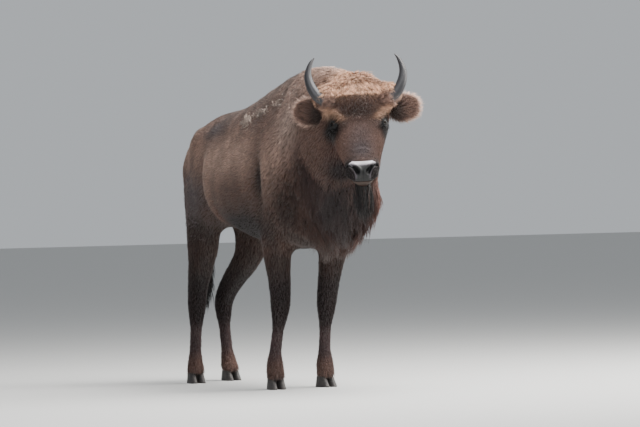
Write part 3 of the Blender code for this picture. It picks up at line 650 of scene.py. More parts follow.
# ---------------------------------------------------------------- where a point of the body lies
def regions(points):
    """Masks from 0 to 1 that say which part of the animal each point belongs to.

    Each is a product of ramps: the place in metres where the part starts and the place where it is full.
    """
    x, y, z = points.T
    folded = one_side(to_head(points))
    hx, hy, hz = folded.T
    back_of_head = np.interp(hz, (-0.24, -0.02, 0.30), (0.03, -0.04, -0.095))
    head = ramp(hy - back_of_head, -0.03, 0.03) * ramp(hz, -0.268, -0.222) * ramp(y, -0.86, -0.90)
    fore = ramp(z, 0.70, 0.60) * ramp(y, -0.33, -0.37) * ramp(y, -0.74, -0.70)
    hind = ramp(z, 0.80, 0.66) * ramp(y, 0.06, 0.14)
    tail = ramp(y, 0.468, 0.490) * ramp(np.abs(x), 0.050, 0.046) * ramp(z, 1.15, 1.12)
    leg = np.maximum(fore, hind) * (1 - tail)
    front = ramp(y, -0.72, -0.90) * (1 - head)
    mane_line = np.interp(y, (-1.10, -0.95, -0.80), (1.10, 1.00, 0.90))
    away_from_brow = path_distance(folded, bent_line(BROW_INNER, BROW_OUTER, BROW_BEND))[0]
    return {
        "back": ramp(z, 1.12, 1.22) * (1 - head),
        "rump": ramp(y, 0.02, 0.16) * ramp(z, 0.70, 0.78) * (1 - tail),
        "thigh": ramp(y, 0.08, 0.20) * ramp(z, 1.02, 0.90) * ramp(z, 0.62, 0.74) * (1 - tail),
        "belly": ramp(z, 0.80, 0.70) * ramp(y, -0.64, -0.56) * ramp(y, 0.16, 0.08),
        "shoulder": ramp(y, -0.36, -0.76) * (1 - head),
        "neck": ramp(y, -0.66, -0.90) * ramp(z, 1.40, 1.30) * (1 - head),
        "mane": front * ramp(z, mane_line + 0.06, mane_line - 0.06),
        "under": (1 - head) * ramp(z, 0.78, 0.70) * ramp(y, -0.86, -0.80) * ramp(y, -0.56, -0.62),
        "upper_leg": leg,
        "leg": leg * ramp(z, 0.56, 0.44),
        "foot": leg * ramp(z, 0.12, 0.07),
        "fringe": (1 - head) * ramp(y, -0.84, -0.92) * ramp(z, 0.86, 0.78),
        "tail": tail,
        "tuft": tail * ramp(z, 0.76, 0.70),
        "cheek": head,
        "face": head * ramp(hx, 0.125, 0.095) * ramp(hy, 0.12, 0.16) * ramp(hz, -0.13, -0.09),
        "forehead": head * ramp(hy, 0.010, 0.030) * ramp(hy, 0.150, 0.125) * ramp(hz, -0.10, -0.06),
        "temple": head * blob(folded, (0.145, -0.004, -0.015), (0.040, 0.050, 0.050)),
        "crown": np.maximum(head * ramp(hy, 0.035, 0.010),
                            blob(points, (-0.01, -1.04, 1.39), (0.14, 0.09, 0.10))),
        "brow": head * bell(away_from_brow, 0.018),
        "orbit": head * ramp(np.linalg.norm(folded - EYE_SET, axis=1), 2.0 * EYE_BALL, 1.5 * EYE_BALL),
        "muzzle": head * ramp(hy, 0.325, 0.365),
        "bare": bare_mask(folded) * head,
    }


def path_distance(points, path):
    """Distance to a line of straight pieces, and how far along it the nearest place is, from 0 to 1."""
    best, share = np.full(len(points), 1e9), np.zeros(len(points))
    for k, (a, b) in enumerate(zip(path[:-1], path[1:])):
        t = np.clip((points - a) @ (b - a) / ((b - a) @ (b - a)), 0, 1)
        far = np.linalg.norm(points - a - t[:, None] * (b - a), axis=1)
        share = np.where(far < best, (k + t) / (len(path) - 1), share)
        best = np.minimum(far, best)
    return best, share


def bent_line(start, end, bend):
    """Points from start to end in even steps, but the last coordinate moves with a power of the share."""
    share = np.linspace(0, 1, 7)[:, None].repeat(len(start), axis=1)
    share[:, -1] **= bend
    return np.array(start) + share * (np.array(end) - np.array(start))


def nostril_shape(folded):
    """Distance from the nostril's comma in units of its own half width, in head space laid on one side."""
    far, share = path_distance(folded[:, :2], bent_line(NOSTRIL_OUTER, NOSTRIL_INNER, NOSTRIL_BEND))
    wide = np.interp(share, (0, 0.5, 1), (0.0050, 0.0072, 0.0092))
    return np.where(folded[:, 2] > -0.052, far / wide, 9.0)


def mouth_level(down):
    """Height off the face of the mouth's line, by distance down the face."""
    return np.interp(down, (0.33, 0.39, 0.42, 0.45), (-0.094, -0.080, -0.066, -0.061))


def bare_mask(local):
    """Nose pad, lips, and the rims of the lids, in head space with x folded to one side."""
    hx, hy, hz = local.T
    top = np.interp(hx, (0, 0.030, 0.045, 0.062), (0.368, 0.366, 0.361, 0.374))
    side = np.interp(hy, (0.36, 0.380, 0.395, 0.410, 0.425), (0.060, 0.063, 0.052, 0.040, 0.034))
    pad = (ramp(hy, top - 0.003, top + 0.003) * ramp(hx, side + 0.004, side - 0.003)
           * ramp(hz, -0.062, -0.056))
    lips = (ramp(np.abs(hz - mouth_level(hy) + 0.012), 0.019, 0.014) * ramp(hy, 0.400, 0.415)
            * ramp(hx, 0.060, 0.050))
    lids = ramp(np.linalg.norm(local - np.array(EYE_SET), axis=1), 1.34 * EYE_BALL, 1.20 * EYE_BALL)
    return np.maximum.reduce([pad, lips, lids])


def coat_style(points):
    """Style of the coat at each point: the regions' styles laid one over another by their masks."""
    style = np.tile(np.array(STYLES["flank"], float), (len(points), 1))
    for name, mask in regions(points).items():
        style += mask[:, None] * (np.array(STYLES[name]) - style)
    return style


def coat_flow(points):
    """Direction in which the hair lies, before it is laid along the skin."""
    where = regions(points)
    count = len(points)
    flow = unit(np.tile((0.0, 1.0, -0.42), (count, 1)))
    body_side = np.sign(points[:, 0])
    head_side = np.clip(to_head(points)[:, 0] / 0.05, -1, 1)
    for ways, side, in_head in ((BODY_LIE, body_side, False), (HEAD_LIE, head_side, True)):
        for name, (out, along, up) in ways.items():
            way = np.stack([side * out, np.full(count, along), np.full(count, up)], axis=1)
            if in_head:
                way = turned(way, HEAD)
            flow = flow + where[name][:, None] * (unit(way) - flow)
    swirl = np.stack([ripple(points, 0.16, 31 + k) for k in range(3)], axis=1)
    wild = 0.16 + 0.60 * where["crown"] + 0.25 * where["forehead"] + 0.20 * where["neck"]
    return unit(flow + wild[:, None] * swirl)


def coat_layers(points):
    """Markings of the coat from the lowest to the topmost: a tone and how strongly it covers each point."""
    folded = one_side(points)
    local = one_side(to_head(points))
    where = regions(points)
    leg, head, z = where["upper_leg"], where["cheek"], points[:, 2]
    layers = [(BROWN, np.ones(len(points)))]
    layers += [(tone, 1.25 * strength * blob(folded, centre, sizes) * (1 - head))
               for _, tone, centre, sizes, strength in BODY_MARKS]
    layers += [(UMBER, leg * ramp(z, 0.74, 0.60)), (DARK, leg * ramp(z, 0.60, 0.46)),
               (MUD_GREY, 0.9 * leg * ramp(z, 0.31, 0.24)), (BROWN, 0.7 * leg * ramp(z, 0.18, 0.09)),
               (DARK, where["tail"]), (BLACK_BROWN, where["tuft"]), (BROWN, head)]
    layers += [(tone, 1.25 * strength * blob(local, centre, sizes) * head)
               for _, tone, centre, sizes, strength in HEAD_MARKS]
    layers += [(STRAW, where["brow"] * ramp(local[:, 1], 0.16, 0.13) * ramp(local[:, 1], 0.03, 0.07)),
               (RUST, 0.8 * blob(points, (0.20, -0.98, 0.84), (0.11, 0.16, 0.28)) * (1 - head)),
               (STRAW, 0.9 * where["crown"] * ramp(z, 1.28, 1.34)),
               # dark hair round the eye with painted shade in its socket
               (BLACK_BROWN, 1.7 * blob(local, *DARK_EYE_AND_SOCKET_SHADE) * head)]
    return layers


def coat_colour(points):
    """Colour of the coat in linear light, the same for skin and locks, with the bare parts over it, among
    them a painted wet highlight on the nose pad and painted shade in the nostrils and the mouth's slit.
    """
    colour = np.zeros((len(points), 3))

    def paint(tone, mask):
        nonlocal colour
        colour = colour + np.clip(mask, 0, 1)[:, None] * (linear(tone) - colour)

    for tone, mask in coat_layers(points):
        paint(tone, mask)
    where = regions(points)
    bare, head = where["bare"], where["cheek"]
    streak = 0.16 * ripple(points * (1, 1, 0.3), 0.085, 12) * (1 - head)
    mottle = 1 + 0.13 * ripple(points, 0.10, 3) + 0.08 * ripple(points, 0.035, 4) + streak
    colour = colour * (COAT_GAIN * mottle)[:, None]
    local = one_side(to_head(points))
    hx, hy, hz = local.T
    level = mouth_level(hy)
    upper = bare * ramp(hz, level - 0.002, level + 0.004) * ramp(hy, 0.30, 0.34)
    paint(PAD_GREY, upper)
    # pale top band of the pad: pale grey with a painted wet highlight
    paint(PALE_PAD_WITH_HIGHLIGHT, upper * ramp(hy, 0.390, 0.376))
    paint(PAD_DARK, upper * ramp(hy, 0.382, 0.396) * ramp(hx, 0.034, 0.022))
    paint(PAD_DARK, upper * ramp(hz, -0.038, -0.047))
    lower_lip = bare * ramp(hz, level - 0.001, level - 0.006) * ramp(hy, 0.37, 0.40)
    paint(LIP, lower_lip * ramp(hx, 0.056, 0.044))
    # painted shade: black inside the nostril holes and along the mouth's slit, where the recesses lie in
    # shade
    paint(BARE_BLACK, head * ramp(nostril_shape(local), 1.30, 0.95))
    paint(BARE_BLACK, head * ramp(np.abs(hz - level), 0.0030, 0.0015) * ramp(hy, 0.34, 0.36))
    paint(BARE_BLACK, bare * ramp(hy, 0.22, 0.20))
    return colour * np.minimum(1, 0.85 / colour.max(axis=1))[:, None]


# ---------------------------------------------------------------- skin
def relaxed(points, edges, weight, rounds):
    """Each point moves half of its weight towards the mean of its neighbours, round by round."""
    a, b = edges.T
    count = np.maximum(np.bincount(a, minlength=len(points)) + np.bincount(b, minlength=len(points)), 1)
    pull = 0.5 * np.broadcast_to(weight, len(points))[:, None]
    for _ in range(rounds):
        total = [np.bincount(a, points[b, k], len(points)) + np.bincount(b, points[a, k], len(points))
                 for k in range(3)]
        mean = np.stack(total, axis=1) / count[:, None]
        points = points + pull * (mean - points)
    return points


def add_ball(shaped, centre, sizes, turn):
    """A ball with the given half sizes in the anatomy's space."""
    place = Matrix.Translation(centre + Vector(SHIFT)) @ turn @ Matrix.Diagonal((*sizes, 1))
    bmesh.ops.create_icosphere(shaped, subdivisions=3, radius=1.0, matrix=place)


def flesh_mesh(grain):
    """The flesh nodes swollen a little, plugged at the sockets, and fused by a voxel remesh."""
    shaped = bmesh.new()
    for node in FLESH:
        part = bmesh.new()
        part.from_mesh(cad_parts[node].data)
        bmesh.ops.remove_doubles(part, verts=part.verts, dist=1e-5)
        part.normal_update()
        for vert in part.verts:
            vert.co += vert.normal * SWELL
        copy = bpy.data.meshes.new("part")
        part.to_mesh(copy)
        part.free()
        shaped.from_mesh(copy)
        bpy.data.meshes.remove(copy)
    plugs = [CHIN_PLUG]
    plugs += [((side * x, y, z), sizes) for side in (1, -1) for (x, y, z), sizes in SIDE_PLUGS]
    for centre, sizes in plugs:
        add_ball(shaped, HEAD @ Vector(centre), sizes, HEAD.to_3x3().to_4x4())
    for *_, (_, x, y) in LEG_JOINTS.values():
        centre = Vector((x, y + FOOT_PLUG_BACK, FOOT_PLUG_HEIGHT))
        add_ball(shaped, centre, FOOT_PLUG_SIZES, Matrix.Identity(4))
    mesh = bpy.data.meshes.new("flesh")
    shaped.to_mesh(mesh)
    shaped.free()
    obj = bpy.data.objects.new("flesh", mesh)
    bpy.context.scene.collection.objects.link(obj)
    melt = obj.modifiers.new("fuse", "REMESH")
    melt.mode = "VOXEL"
    melt.voxel_size = grain
    fused = bpy.data.meshes.new_from_object(obj.evaluated_get(bpy.context.evaluated_depsgraph_get()))
    bpy.data.objects.remove(obj)
    return fused


def move_points(mesh, points):
    mesh.vertices.foreach_set("co", (points + SHIFT).astype(np.float32).ravel())
    mesh.update()


def refined(mesh, chosen):
    """Halves every edge whose two ends are chosen."""
    shaped = bmesh.new()
    shaped.from_mesh(mesh)
    shaped.verts.ensure_lookup_table()
    edges = [e for e in shaped.edges if chosen[e.verts[0].index] and chosen[e.verts[1].index]]
    bmesh.ops.subdivide_edges(shaped, edges=edges, cuts=1, use_grid_fill=True)
    shaped.to_mesh(mesh)
    shaped.free()
    mesh.update()


def eye_axes(side):
    """Directions in head space: where the eye looks, from its outer to its inner corner, and up across."""
    gaze = unit(np.array(GAZE) * (side, 1, 1))
    along = np.array(EYE_LINE) * (side, 1, 1)
    along = unit(along - (along @ gaze) * gaze)
    across = np.cross(gaze, along)
    return gaze, along, across * np.sign(across @ (0, -0.82, 0.57))


def eye_relief(local, side):
    """Lids that wrap the eyeball, with an almond opening inside which the skin sinks behind it.

    Bearing runs along the opening and height across it, both as angles about the ball's middle. The lids
    meet at a bearing of LID_CORNER to either side. A groove above and below them makes the folds.
    """
    centre = np.array(EYE_SET) * (side, 1, 1)
    away = local - centre
    far = np.linalg.norm(away, axis=1)
    gaze, along, across = eye_axes(side)
    u, v, w = away @ along, away @ across, away @ gaze
    turn = np.arccos(np.clip(w / far, -1, 1))
    bearing, height = np.arctan2(u, w), np.arcsin(np.clip(v / far, -1, 1))
    bow = np.clip(1 - np.abs(bearing / LID_CORNER) ** 2.3, 0, 1)
    gap = np.where(height > 0, LID_OPENING["upper"] * bow - height, LID_OPENING["lower"] * bow + height)
    inside = ramp(gap, 0.0, 0.09) * ramp(np.abs(bearing), LID_CORNER, 0.96)
    margin = bell(gap + 0.09, 0.08)
    fold = np.where(height > 0, 0.0026 * bell(gap + 0.44, 0.11), 0.0016 * bell(gap + 0.36, 0.10))
    target = EYE_BALL + 0.0024 + 0.0012 * margin + 0.0050 * ramp(-gap, 0.25, 0.95) - fold
    target = target + inside * (0.84 * EYE_BALL - target)
    hold = ramp(turn, 1.75, 1.15) * ramp(far, 2.4 * EYE_BALL, 1.8 * EYE_BALL)
    return centre + away / far[:, None] * (far + hold * (target - far))[:, None]


def face_relief(local):
    """Height of nose, nostrils, lips, brow and creases over the plain head, in metres."""
    folded = one_side(local)
    hx, hy, hz = folded.T
    near = nostril_shape(folded)
    hole = bell(near, 0.95, 4)
    ring = bell(near - 1.75, 0.65)
    level = mouth_level(hy)
    slit = bell(hz - level, 0.0026) * ramp(hy, 0.338, 0.356)
    lip_low = bell(hz - level + 0.014, 0.009) * ramp(hy, 0.39, 0.41) * ramp(hx, 0.06, 0.04)
    lip_high = bell(hz - level - 0.010, 0.008) * ramp(hy, 0.36, 0.39)
    groove = bell(hx, 0.0026) * ramp(hy, 0.408, 0.416) * ramp(hz, level + 0.002, level + 0.008)
    edge = bell(hy - 0.364, 0.004) * ramp(hx, 0.06, 0.05) * ramp(hz, -0.05, -0.03)
    wrinkle = bell(hy - 0.286 - 0.25 * hx, 0.006) * ramp(hx, 0.05, 0.02) * ramp(hz, -0.05, -0.02)
    second = bell(hy - 0.318 - 0.15 * hx, 0.005) * ramp(hx, 0.05, 0.02) * ramp(hz, -0.05, -0.02)
    crest = bell(hx - 0.086, 0.014) * ramp(hy, 0.19, 0.22) * ramp(hy, 0.32, 0.28) * ramp(hz, -0.10, -0.06)
    pads = blob(folded, (0.054, 0.404, -0.044), (0.020, 0.024, 0.018))
    brow = bell(path_distance(folded, bent_line(BROW_INNER, BROW_OUTER, BROW_BEND))[0], 0.016)
    tear = blob(folded, (0.092, 0.205, -0.018), (0.014, 0.030, 0.020))
    nostril = -0.017 * hole + 0.0036 * ring * (1 - hole)
    mouth = -0.0050 * slit + 0.0045 * lip_low + 0.0025 * lip_high - 0.0020 * groove
    creases = -0.0016 * edge - 0.0010 * wrinkle - 0.0006 * second - 0.0035 * tear
    swellings = 0.0035 * crest + 0.0050 * pads + 0.0050 * brow
    return nostril + mouth + creases + swellings


def jaw_drawn_in(local):
    """The lower lip and chin are narrower than the muzzle above them."""
    hx, hy, hz = local.T
    share = 0.34 * ramp(hz, -0.058, -0.084) * ramp(hy, 0.30, 0.40) * ramp(hz, -0.20, -0.12)
    return np.stack([hx * (1 - share), hy, hz], axis=1)


def fine_spot(local):
    """Where the skin needs its finest faces: nostrils, mouth and lids."""
    folded = one_side(local)
    eye = np.linalg.norm(folded - EYE_SET, axis=1) < 1.65 * EYE_BALL
    nose = (folded[:, 1] > 0.366) & (folded[:, 2] > -0.050) & (folded[:, 0] < 0.072)
    mouth = (np.abs(folded[:, 2] - mouth_level(folded[:, 1])) < 0.012) & (folded[:, 1] > 0.36)
    return eye | nose | mouth


def body_relief(points):
    """Height of the body's swellings, hollows and loose skin over the plain flesh."""
    folded = one_side(points)
    total = 0.0022 * ripple(points * (1, 1, 0.35), 0.075, 9) * ramp(points[:, 2], 0.62, 0.76)
    for centre, sizes, height in BODY_RELIEF:
        total = total + height * blob(folded, centre, sizes)
    return total


def body_skin(grain):
    """Points and triangles of the whole skin under the coat, without the ears."""
    mesh = flesh_mesh(grain)
    points = points_of(mesh)
    where = regions(points)
    body = ramp(points[:, 2], 0.60, 0.74) * (1 - where["cheek"]) * (1 - where["tail"])
    points = relaxed(points, edges_of(mesh), 0.5 + 0.5 * body, 6)
    points = relaxed(points, edges_of(mesh), body, 34)
    move_points(mesh, points)
    refined(mesh, regions(points)["cheek"] > 0.3)
    points = points_of(mesh)
    head = regions(points)["cheek"]
    points = relaxed(points, edges_of(mesh), ramp(head, 0.2, 0.8), 8)
    move_points(mesh, points)
    for muzzle_from in (0.32, math.inf):
        local = to_head(points)
        refined(mesh, (head > 0.5) & ((local[:, 1] > muzzle_from) | fine_spot(local)))
        points = points_of(mesh)
        head = regions(points)["cheek"]
        below_horns = ramp(to_head(points)[:, 1], 0.05, 0.10)
        points = relaxed(points, edges_of(mesh), ramp(head, 0.4, 0.9) * below_horns, 3)
        move_points(mesh, points)
    depth = coat_style(points)[:, 5] - body_relief(points) * (1 - head)
    points = points - normals_of(mesh) * depth[:, None]
    points = relaxed(points, edges_of(mesh), np.where(head > 0.5, 0.25, 0.8), 2)
    drawn = from_head(jaw_drawn_in(to_head(points)))
    points = points + np.clip(head, 0, 1)[:, None] * (drawn - points)
    move_points(mesh, points)
    local = to_head(points)
    lift = face_relief(local) * ramp(head, 0.4, 0.8)
    points = points + normals_of(mesh) * lift[:, None]
    local = to_head(points)
    for side in (1, -1):
        near = (local[:, 0] * side > 0) & (head > 0.5)
        local[near] = eye_relief(local[near], side)
    points = np.where((head > 0.5)[:, None], from_head(local), points)
    move_points(mesh, points)
    shaped = bmesh.new()
    shaped.from_mesh(mesh)
    bmesh.ops.triangulate(shaped, faces=shaped.faces)
    shaped.to_mesh(mesh)
    shaped.free()
    return points_of(mesh), triangles_of(mesh)


def ear_axes(side):
    """The ear's own axes: out along its length, across its height, and out of the cup."""
    flat = HEAD.to_3x3().to_4x4()
    return (flat @ Matrix.Rotation(EAR_FACING, 4, "X") @ Matrix.Rotation(side * EAR_SPREAD, 4, "Y")
            @ Matrix.Rotation(-side * EAR_LIFT, 4, "Z"))


def ear_skin(side):
    """A cupped leaf: radius runs out over the hollow to the rim and back over the outer side.

    Its outline is an ellipse drawn narrower at the base, the hollow a shallow bowl, the back a deeper one.
    """
    around, across = 64, 36
    angle = np.linspace(0, 2 * np.pi, around, endpoint=False)
    turn = np.linspace(0, np.pi, across)[1:-1]
    radius = np.sin(turn) ** 0.8
    inner = np.cos(turn) > 0
    a = radius[:, None] * EAR_HALF_LENGTH * np.cos(angle)
    b = radius[:, None] * EAR_HALF_HEIGHT * np.sin(angle) * (1 + EAR_FULLNESS * np.cos(angle))
    bowl = np.where(inner, -0.006 + 0.012 * radius**2, -0.022 + 0.027 * radius**3)
    fold = 0.004 * np.sin(3 * angle[None]) * np.where(inner, radius * (1 - radius), 0)[:, None]
    c = np.broadcast_to(bowl[:, None], a.shape) + fold
    rings = np.stack([side * a, b, c], axis=-1)
    poles = np.array([(0, 0, -0.006), (0, 0, -0.022)])
    local = np.concatenate([rings.reshape(-1, 3), poles])
    faces = tube_faces(len(turn), around)
    if side < 0:
        faces = faces[:, ::-1]
    axes = np.array(ear_axes(side).to_3x3())
    centre = HEAD @ Vector((side * EAR_AT[0], EAR_AT[1], EAR_AT[2]))
    points = local @ axes.T + np.array(centre)
    spread = np.concatenate([np.repeat(radius, around), (0, 0)])
    inside = np.concatenate([np.repeat(inner, around), (True, False)])
    outward = local * (1, 1, 0)
    flow = unit(outward + (side * 0.05, 0, 0)) * 0.9 + np.where(inside, 0.35, 0.05)[:, None] * (0, 0, 1)
    rim = ramp(spread, 0.80, 0.95)
    style = np.where(inside[:, None], EAR_STYLES["inside"], EAR_STYLES["back"])
    style = style + rim[:, None] * (np.array(EAR_STYLES["rim"]) - style)
    colour = linear(BROWN)
    colour = colour + rim[:, None] * (linear(TAN) - colour)
    colour = COAT_GAIN * colour
    # painted shade: darker towards the ear's base, fully inside the cup and at 0.6 on its back
    root = ramp(outward[:, 0] * side, 0.024, -0.030) * np.where(inside, 1, 0.6)
    colour = colour + 0.75 * root[:, None] * (linear(BLACK_BROWN) - colour)
    return points, faces, unit(flow @ axes.T), style, colour, (local, inside)


def rolled_out(corners):
    """Unwrap of the skin: each part is rolled out round its own axis, angle across and length up.

    Corners is an array of triangles by three corners by three coordinates.
    """
    middle = corners.mean(axis=1)
    where = regions(middle)
    local, local_middle = to_head(corners.reshape(-1, 3)).reshape(corners.shape), to_head(middle)
    found = np.zeros((len(corners), 3, 2))

    def roll(mask, chart, a, b, a_mid, b_mid, along, part):
        start, long = ROLLED[part]
        length = (along - start) / long
        here = np.arctan2(a, b)
        base = np.arctan2(a_mid, b_mid)[:, None]
        turn = base + (here - base + np.pi) % (2 * np.pi) - np.pi
        u0, v0, width, height = CHARTS[chart]
        found[mask, :, 0] = u0 + width * (0.5 + np.clip(turn / (2 * np.pi), -0.53, 0.53))[mask]
        found[mask, :, 1] = v0 + height * np.clip(length, 0, 1)[mask]

    x, y, z = np.moveaxis(corners, -1, 0)
    everywhere = np.ones(len(corners), bool)
    roll(everywhere, "trunk", x, z - TRUNK_AXIS_Z, middle[:, 0], middle[:, 2] - TRUNK_AXIS_Z, y, "trunk")
    lx, ly, lz = np.moveaxis(local, -1, 0)
    roll(where["cheek"] > 0.5, "head", lx, lz - HEAD_AXIS_OFF_FACE,
         local_middle[:, 0], local_middle[:, 2] - HEAD_AXIS_OFF_FACE, ly, "head")
    roll(where["tail"] > 0.5, "tail", x, y - TAIL_AXIS_Y,
         middle[:, 0], middle[:, 1] - TAIL_AXIS_Y, z, "tail")
    for name in LEG_JOINTS:
        sign = -1 if name.endswith("right") else 1
        end = middle[:, 1] < 0 if name.startswith("fore") else middle[:, 1] > 0
        mask = (where["upper_leg"] > 0.5) & end & (middle[:, 0] * sign > 0)
        leg_x, leg_y = leg_middle(name, z)
        middle_x, middle_y = leg_middle(name, middle[:, 2])
        roll(mask, name, x - leg_x, y - leg_y,
             middle[:, 0] - middle_x, middle[:, 1] - middle_y, z, "leg")
    return found


def build_skin(grain):
    """The one skin: body and ears, with its colours, its unwrap and what the coat needs to know."""
    points, triangles = body_skin(grain)
    style = coat_style(points)
    flow = coat_flow(points)
    colour = coat_colour(points)
    bare = regions(points)["bare"]
    unwrap = rolled_out(points[triangles])
    for side, word in ((1, "left"), (-1, "right")):
        ear_points, ear_faces, ear_flow, ear_style, ear_colour, (local, inside) = ear_skin(side)
        u0, v0, width, height = CHARTS["ear_" + word]
        lift = CHARTS["ear_left_back"][1] - v0
        across = u0 + width * (0.5 + local[:, 0] / 0.17)
        upwards = v0 + height * (0.5 + local[:, 1] / 0.14)
        at = np.stack([across, upwards], axis=1)[ear_faces]
        outer = ~inside[ear_faces].all(axis=1)
        at[outer, :, 1] += lift
        unwrap = np.concatenate([unwrap, at])
        triangles = np.concatenate([triangles, ear_faces + len(points)])
        points = np.concatenate([points, ear_points])
        style = np.concatenate([style, ear_style])
        flow = np.concatenate([flow, ear_flow])
        colour = np.concatenate([colour, ear_colour])
        bare = np.concatenate([bare, np.zeros(len(ear_points))])
    obj = made_object("skin", points, triangles, skin_material())
    mesh = obj.data
    write_unwrap(mesh, unwrap)
    # painted shade: between the locks the skin takes 0.42 of the coat's colour, for the shade deep in the
    # coat; bare skin keeps its full colour
    between = 0.42 + 0.58 * bare
    write_attribute(mesh, "coat_colour", with_alpha(colour * between[:, None]))
    write_attribute(mesh, "bare", bare)
    write_attribute(mesh, "hair_colour", colour)
    write_attribute(mesh, "hair_flow", flow)
    for k, name in enumerate(("hair_length", "hair_width", "hair_lift", "hair_curl", "hair_count")):
        write_attribute(mesh, name, style[:, k])
    return obj


# ---------------------------------------------------------------- coat
def scattered(skin, count_of, rng):
    """Roots spread over the skin's triangles in proportion to the count asked for on each.

    Returns what a root needs: place, normal, flow, colour, style and its place on the unwrap.
    """
    mesh = skin.data
    triangles, points, normals = triangles_of(mesh), points_of(mesh), normals_of(mesh)
    unwrap = unwrap_of(mesh).reshape(-1, 3, 2)
    style = np.concatenate([gathered(mesh.attributes["hair_" + name].data, "value", 1)
                            for name in ("length", "width", "lift", "curl", "count")], axis=1)
    flow = gathered(mesh.attributes["hair_flow"].data, "vector", 3)
    colour = gathered(mesh.attributes["hair_colour"].data, "vector", 3)
    a, b, c = points[triangles[:, 0]], points[triangles[:, 1]], points[triangles[:, 2]]
    area = np.linalg.norm(np.cross(b - a, c - a), axis=1) / 2
    wanted = np.cumsum(area * count_of(style[triangles].mean(axis=1), (a + b + c) / 3))
    number = int(wanted[-1])
    pick = np.searchsorted(wanted, (np.arange(number) + rng.random(number)) / number * wanted[-1])
    pick = np.minimum(pick, len(triangles) - 1)
    r, s = np.sqrt(rng.random(number)), rng.random(number)
    share = np.stack([1 - r, r * (1 - s), r * s], axis=1)

    def mixed(values):
        return np.einsum("nk,nkd->nd", share, values[triangles[pick]])

    return {"point": mixed(points), "normal": unit(mixed(normals)), "flow": mixed(flow),
            "colour": mixed(colour), "style": mixed(style),
            "uv": np.einsum("nk,nkd->nd", share, unwrap[pick])}


def clump_pull(roots, tips, rng, share):
    """Vector from each lock's tip to the tip of the nearest leading lock: every share-th lock leads."""
    leaders = rng.choice(len(roots), max(len(roots) // share, 1), replace=False)
    tree = KDTree(len(leaders))
    for n, leader in enumerate(leaders):
        tree.insert(roots[leader], n)
    tree.balance()
    nearest = leaders[np.array([tree.find(root)[1] for root in roots.tolist()])]
    return tips[nearest] - tips, nearest


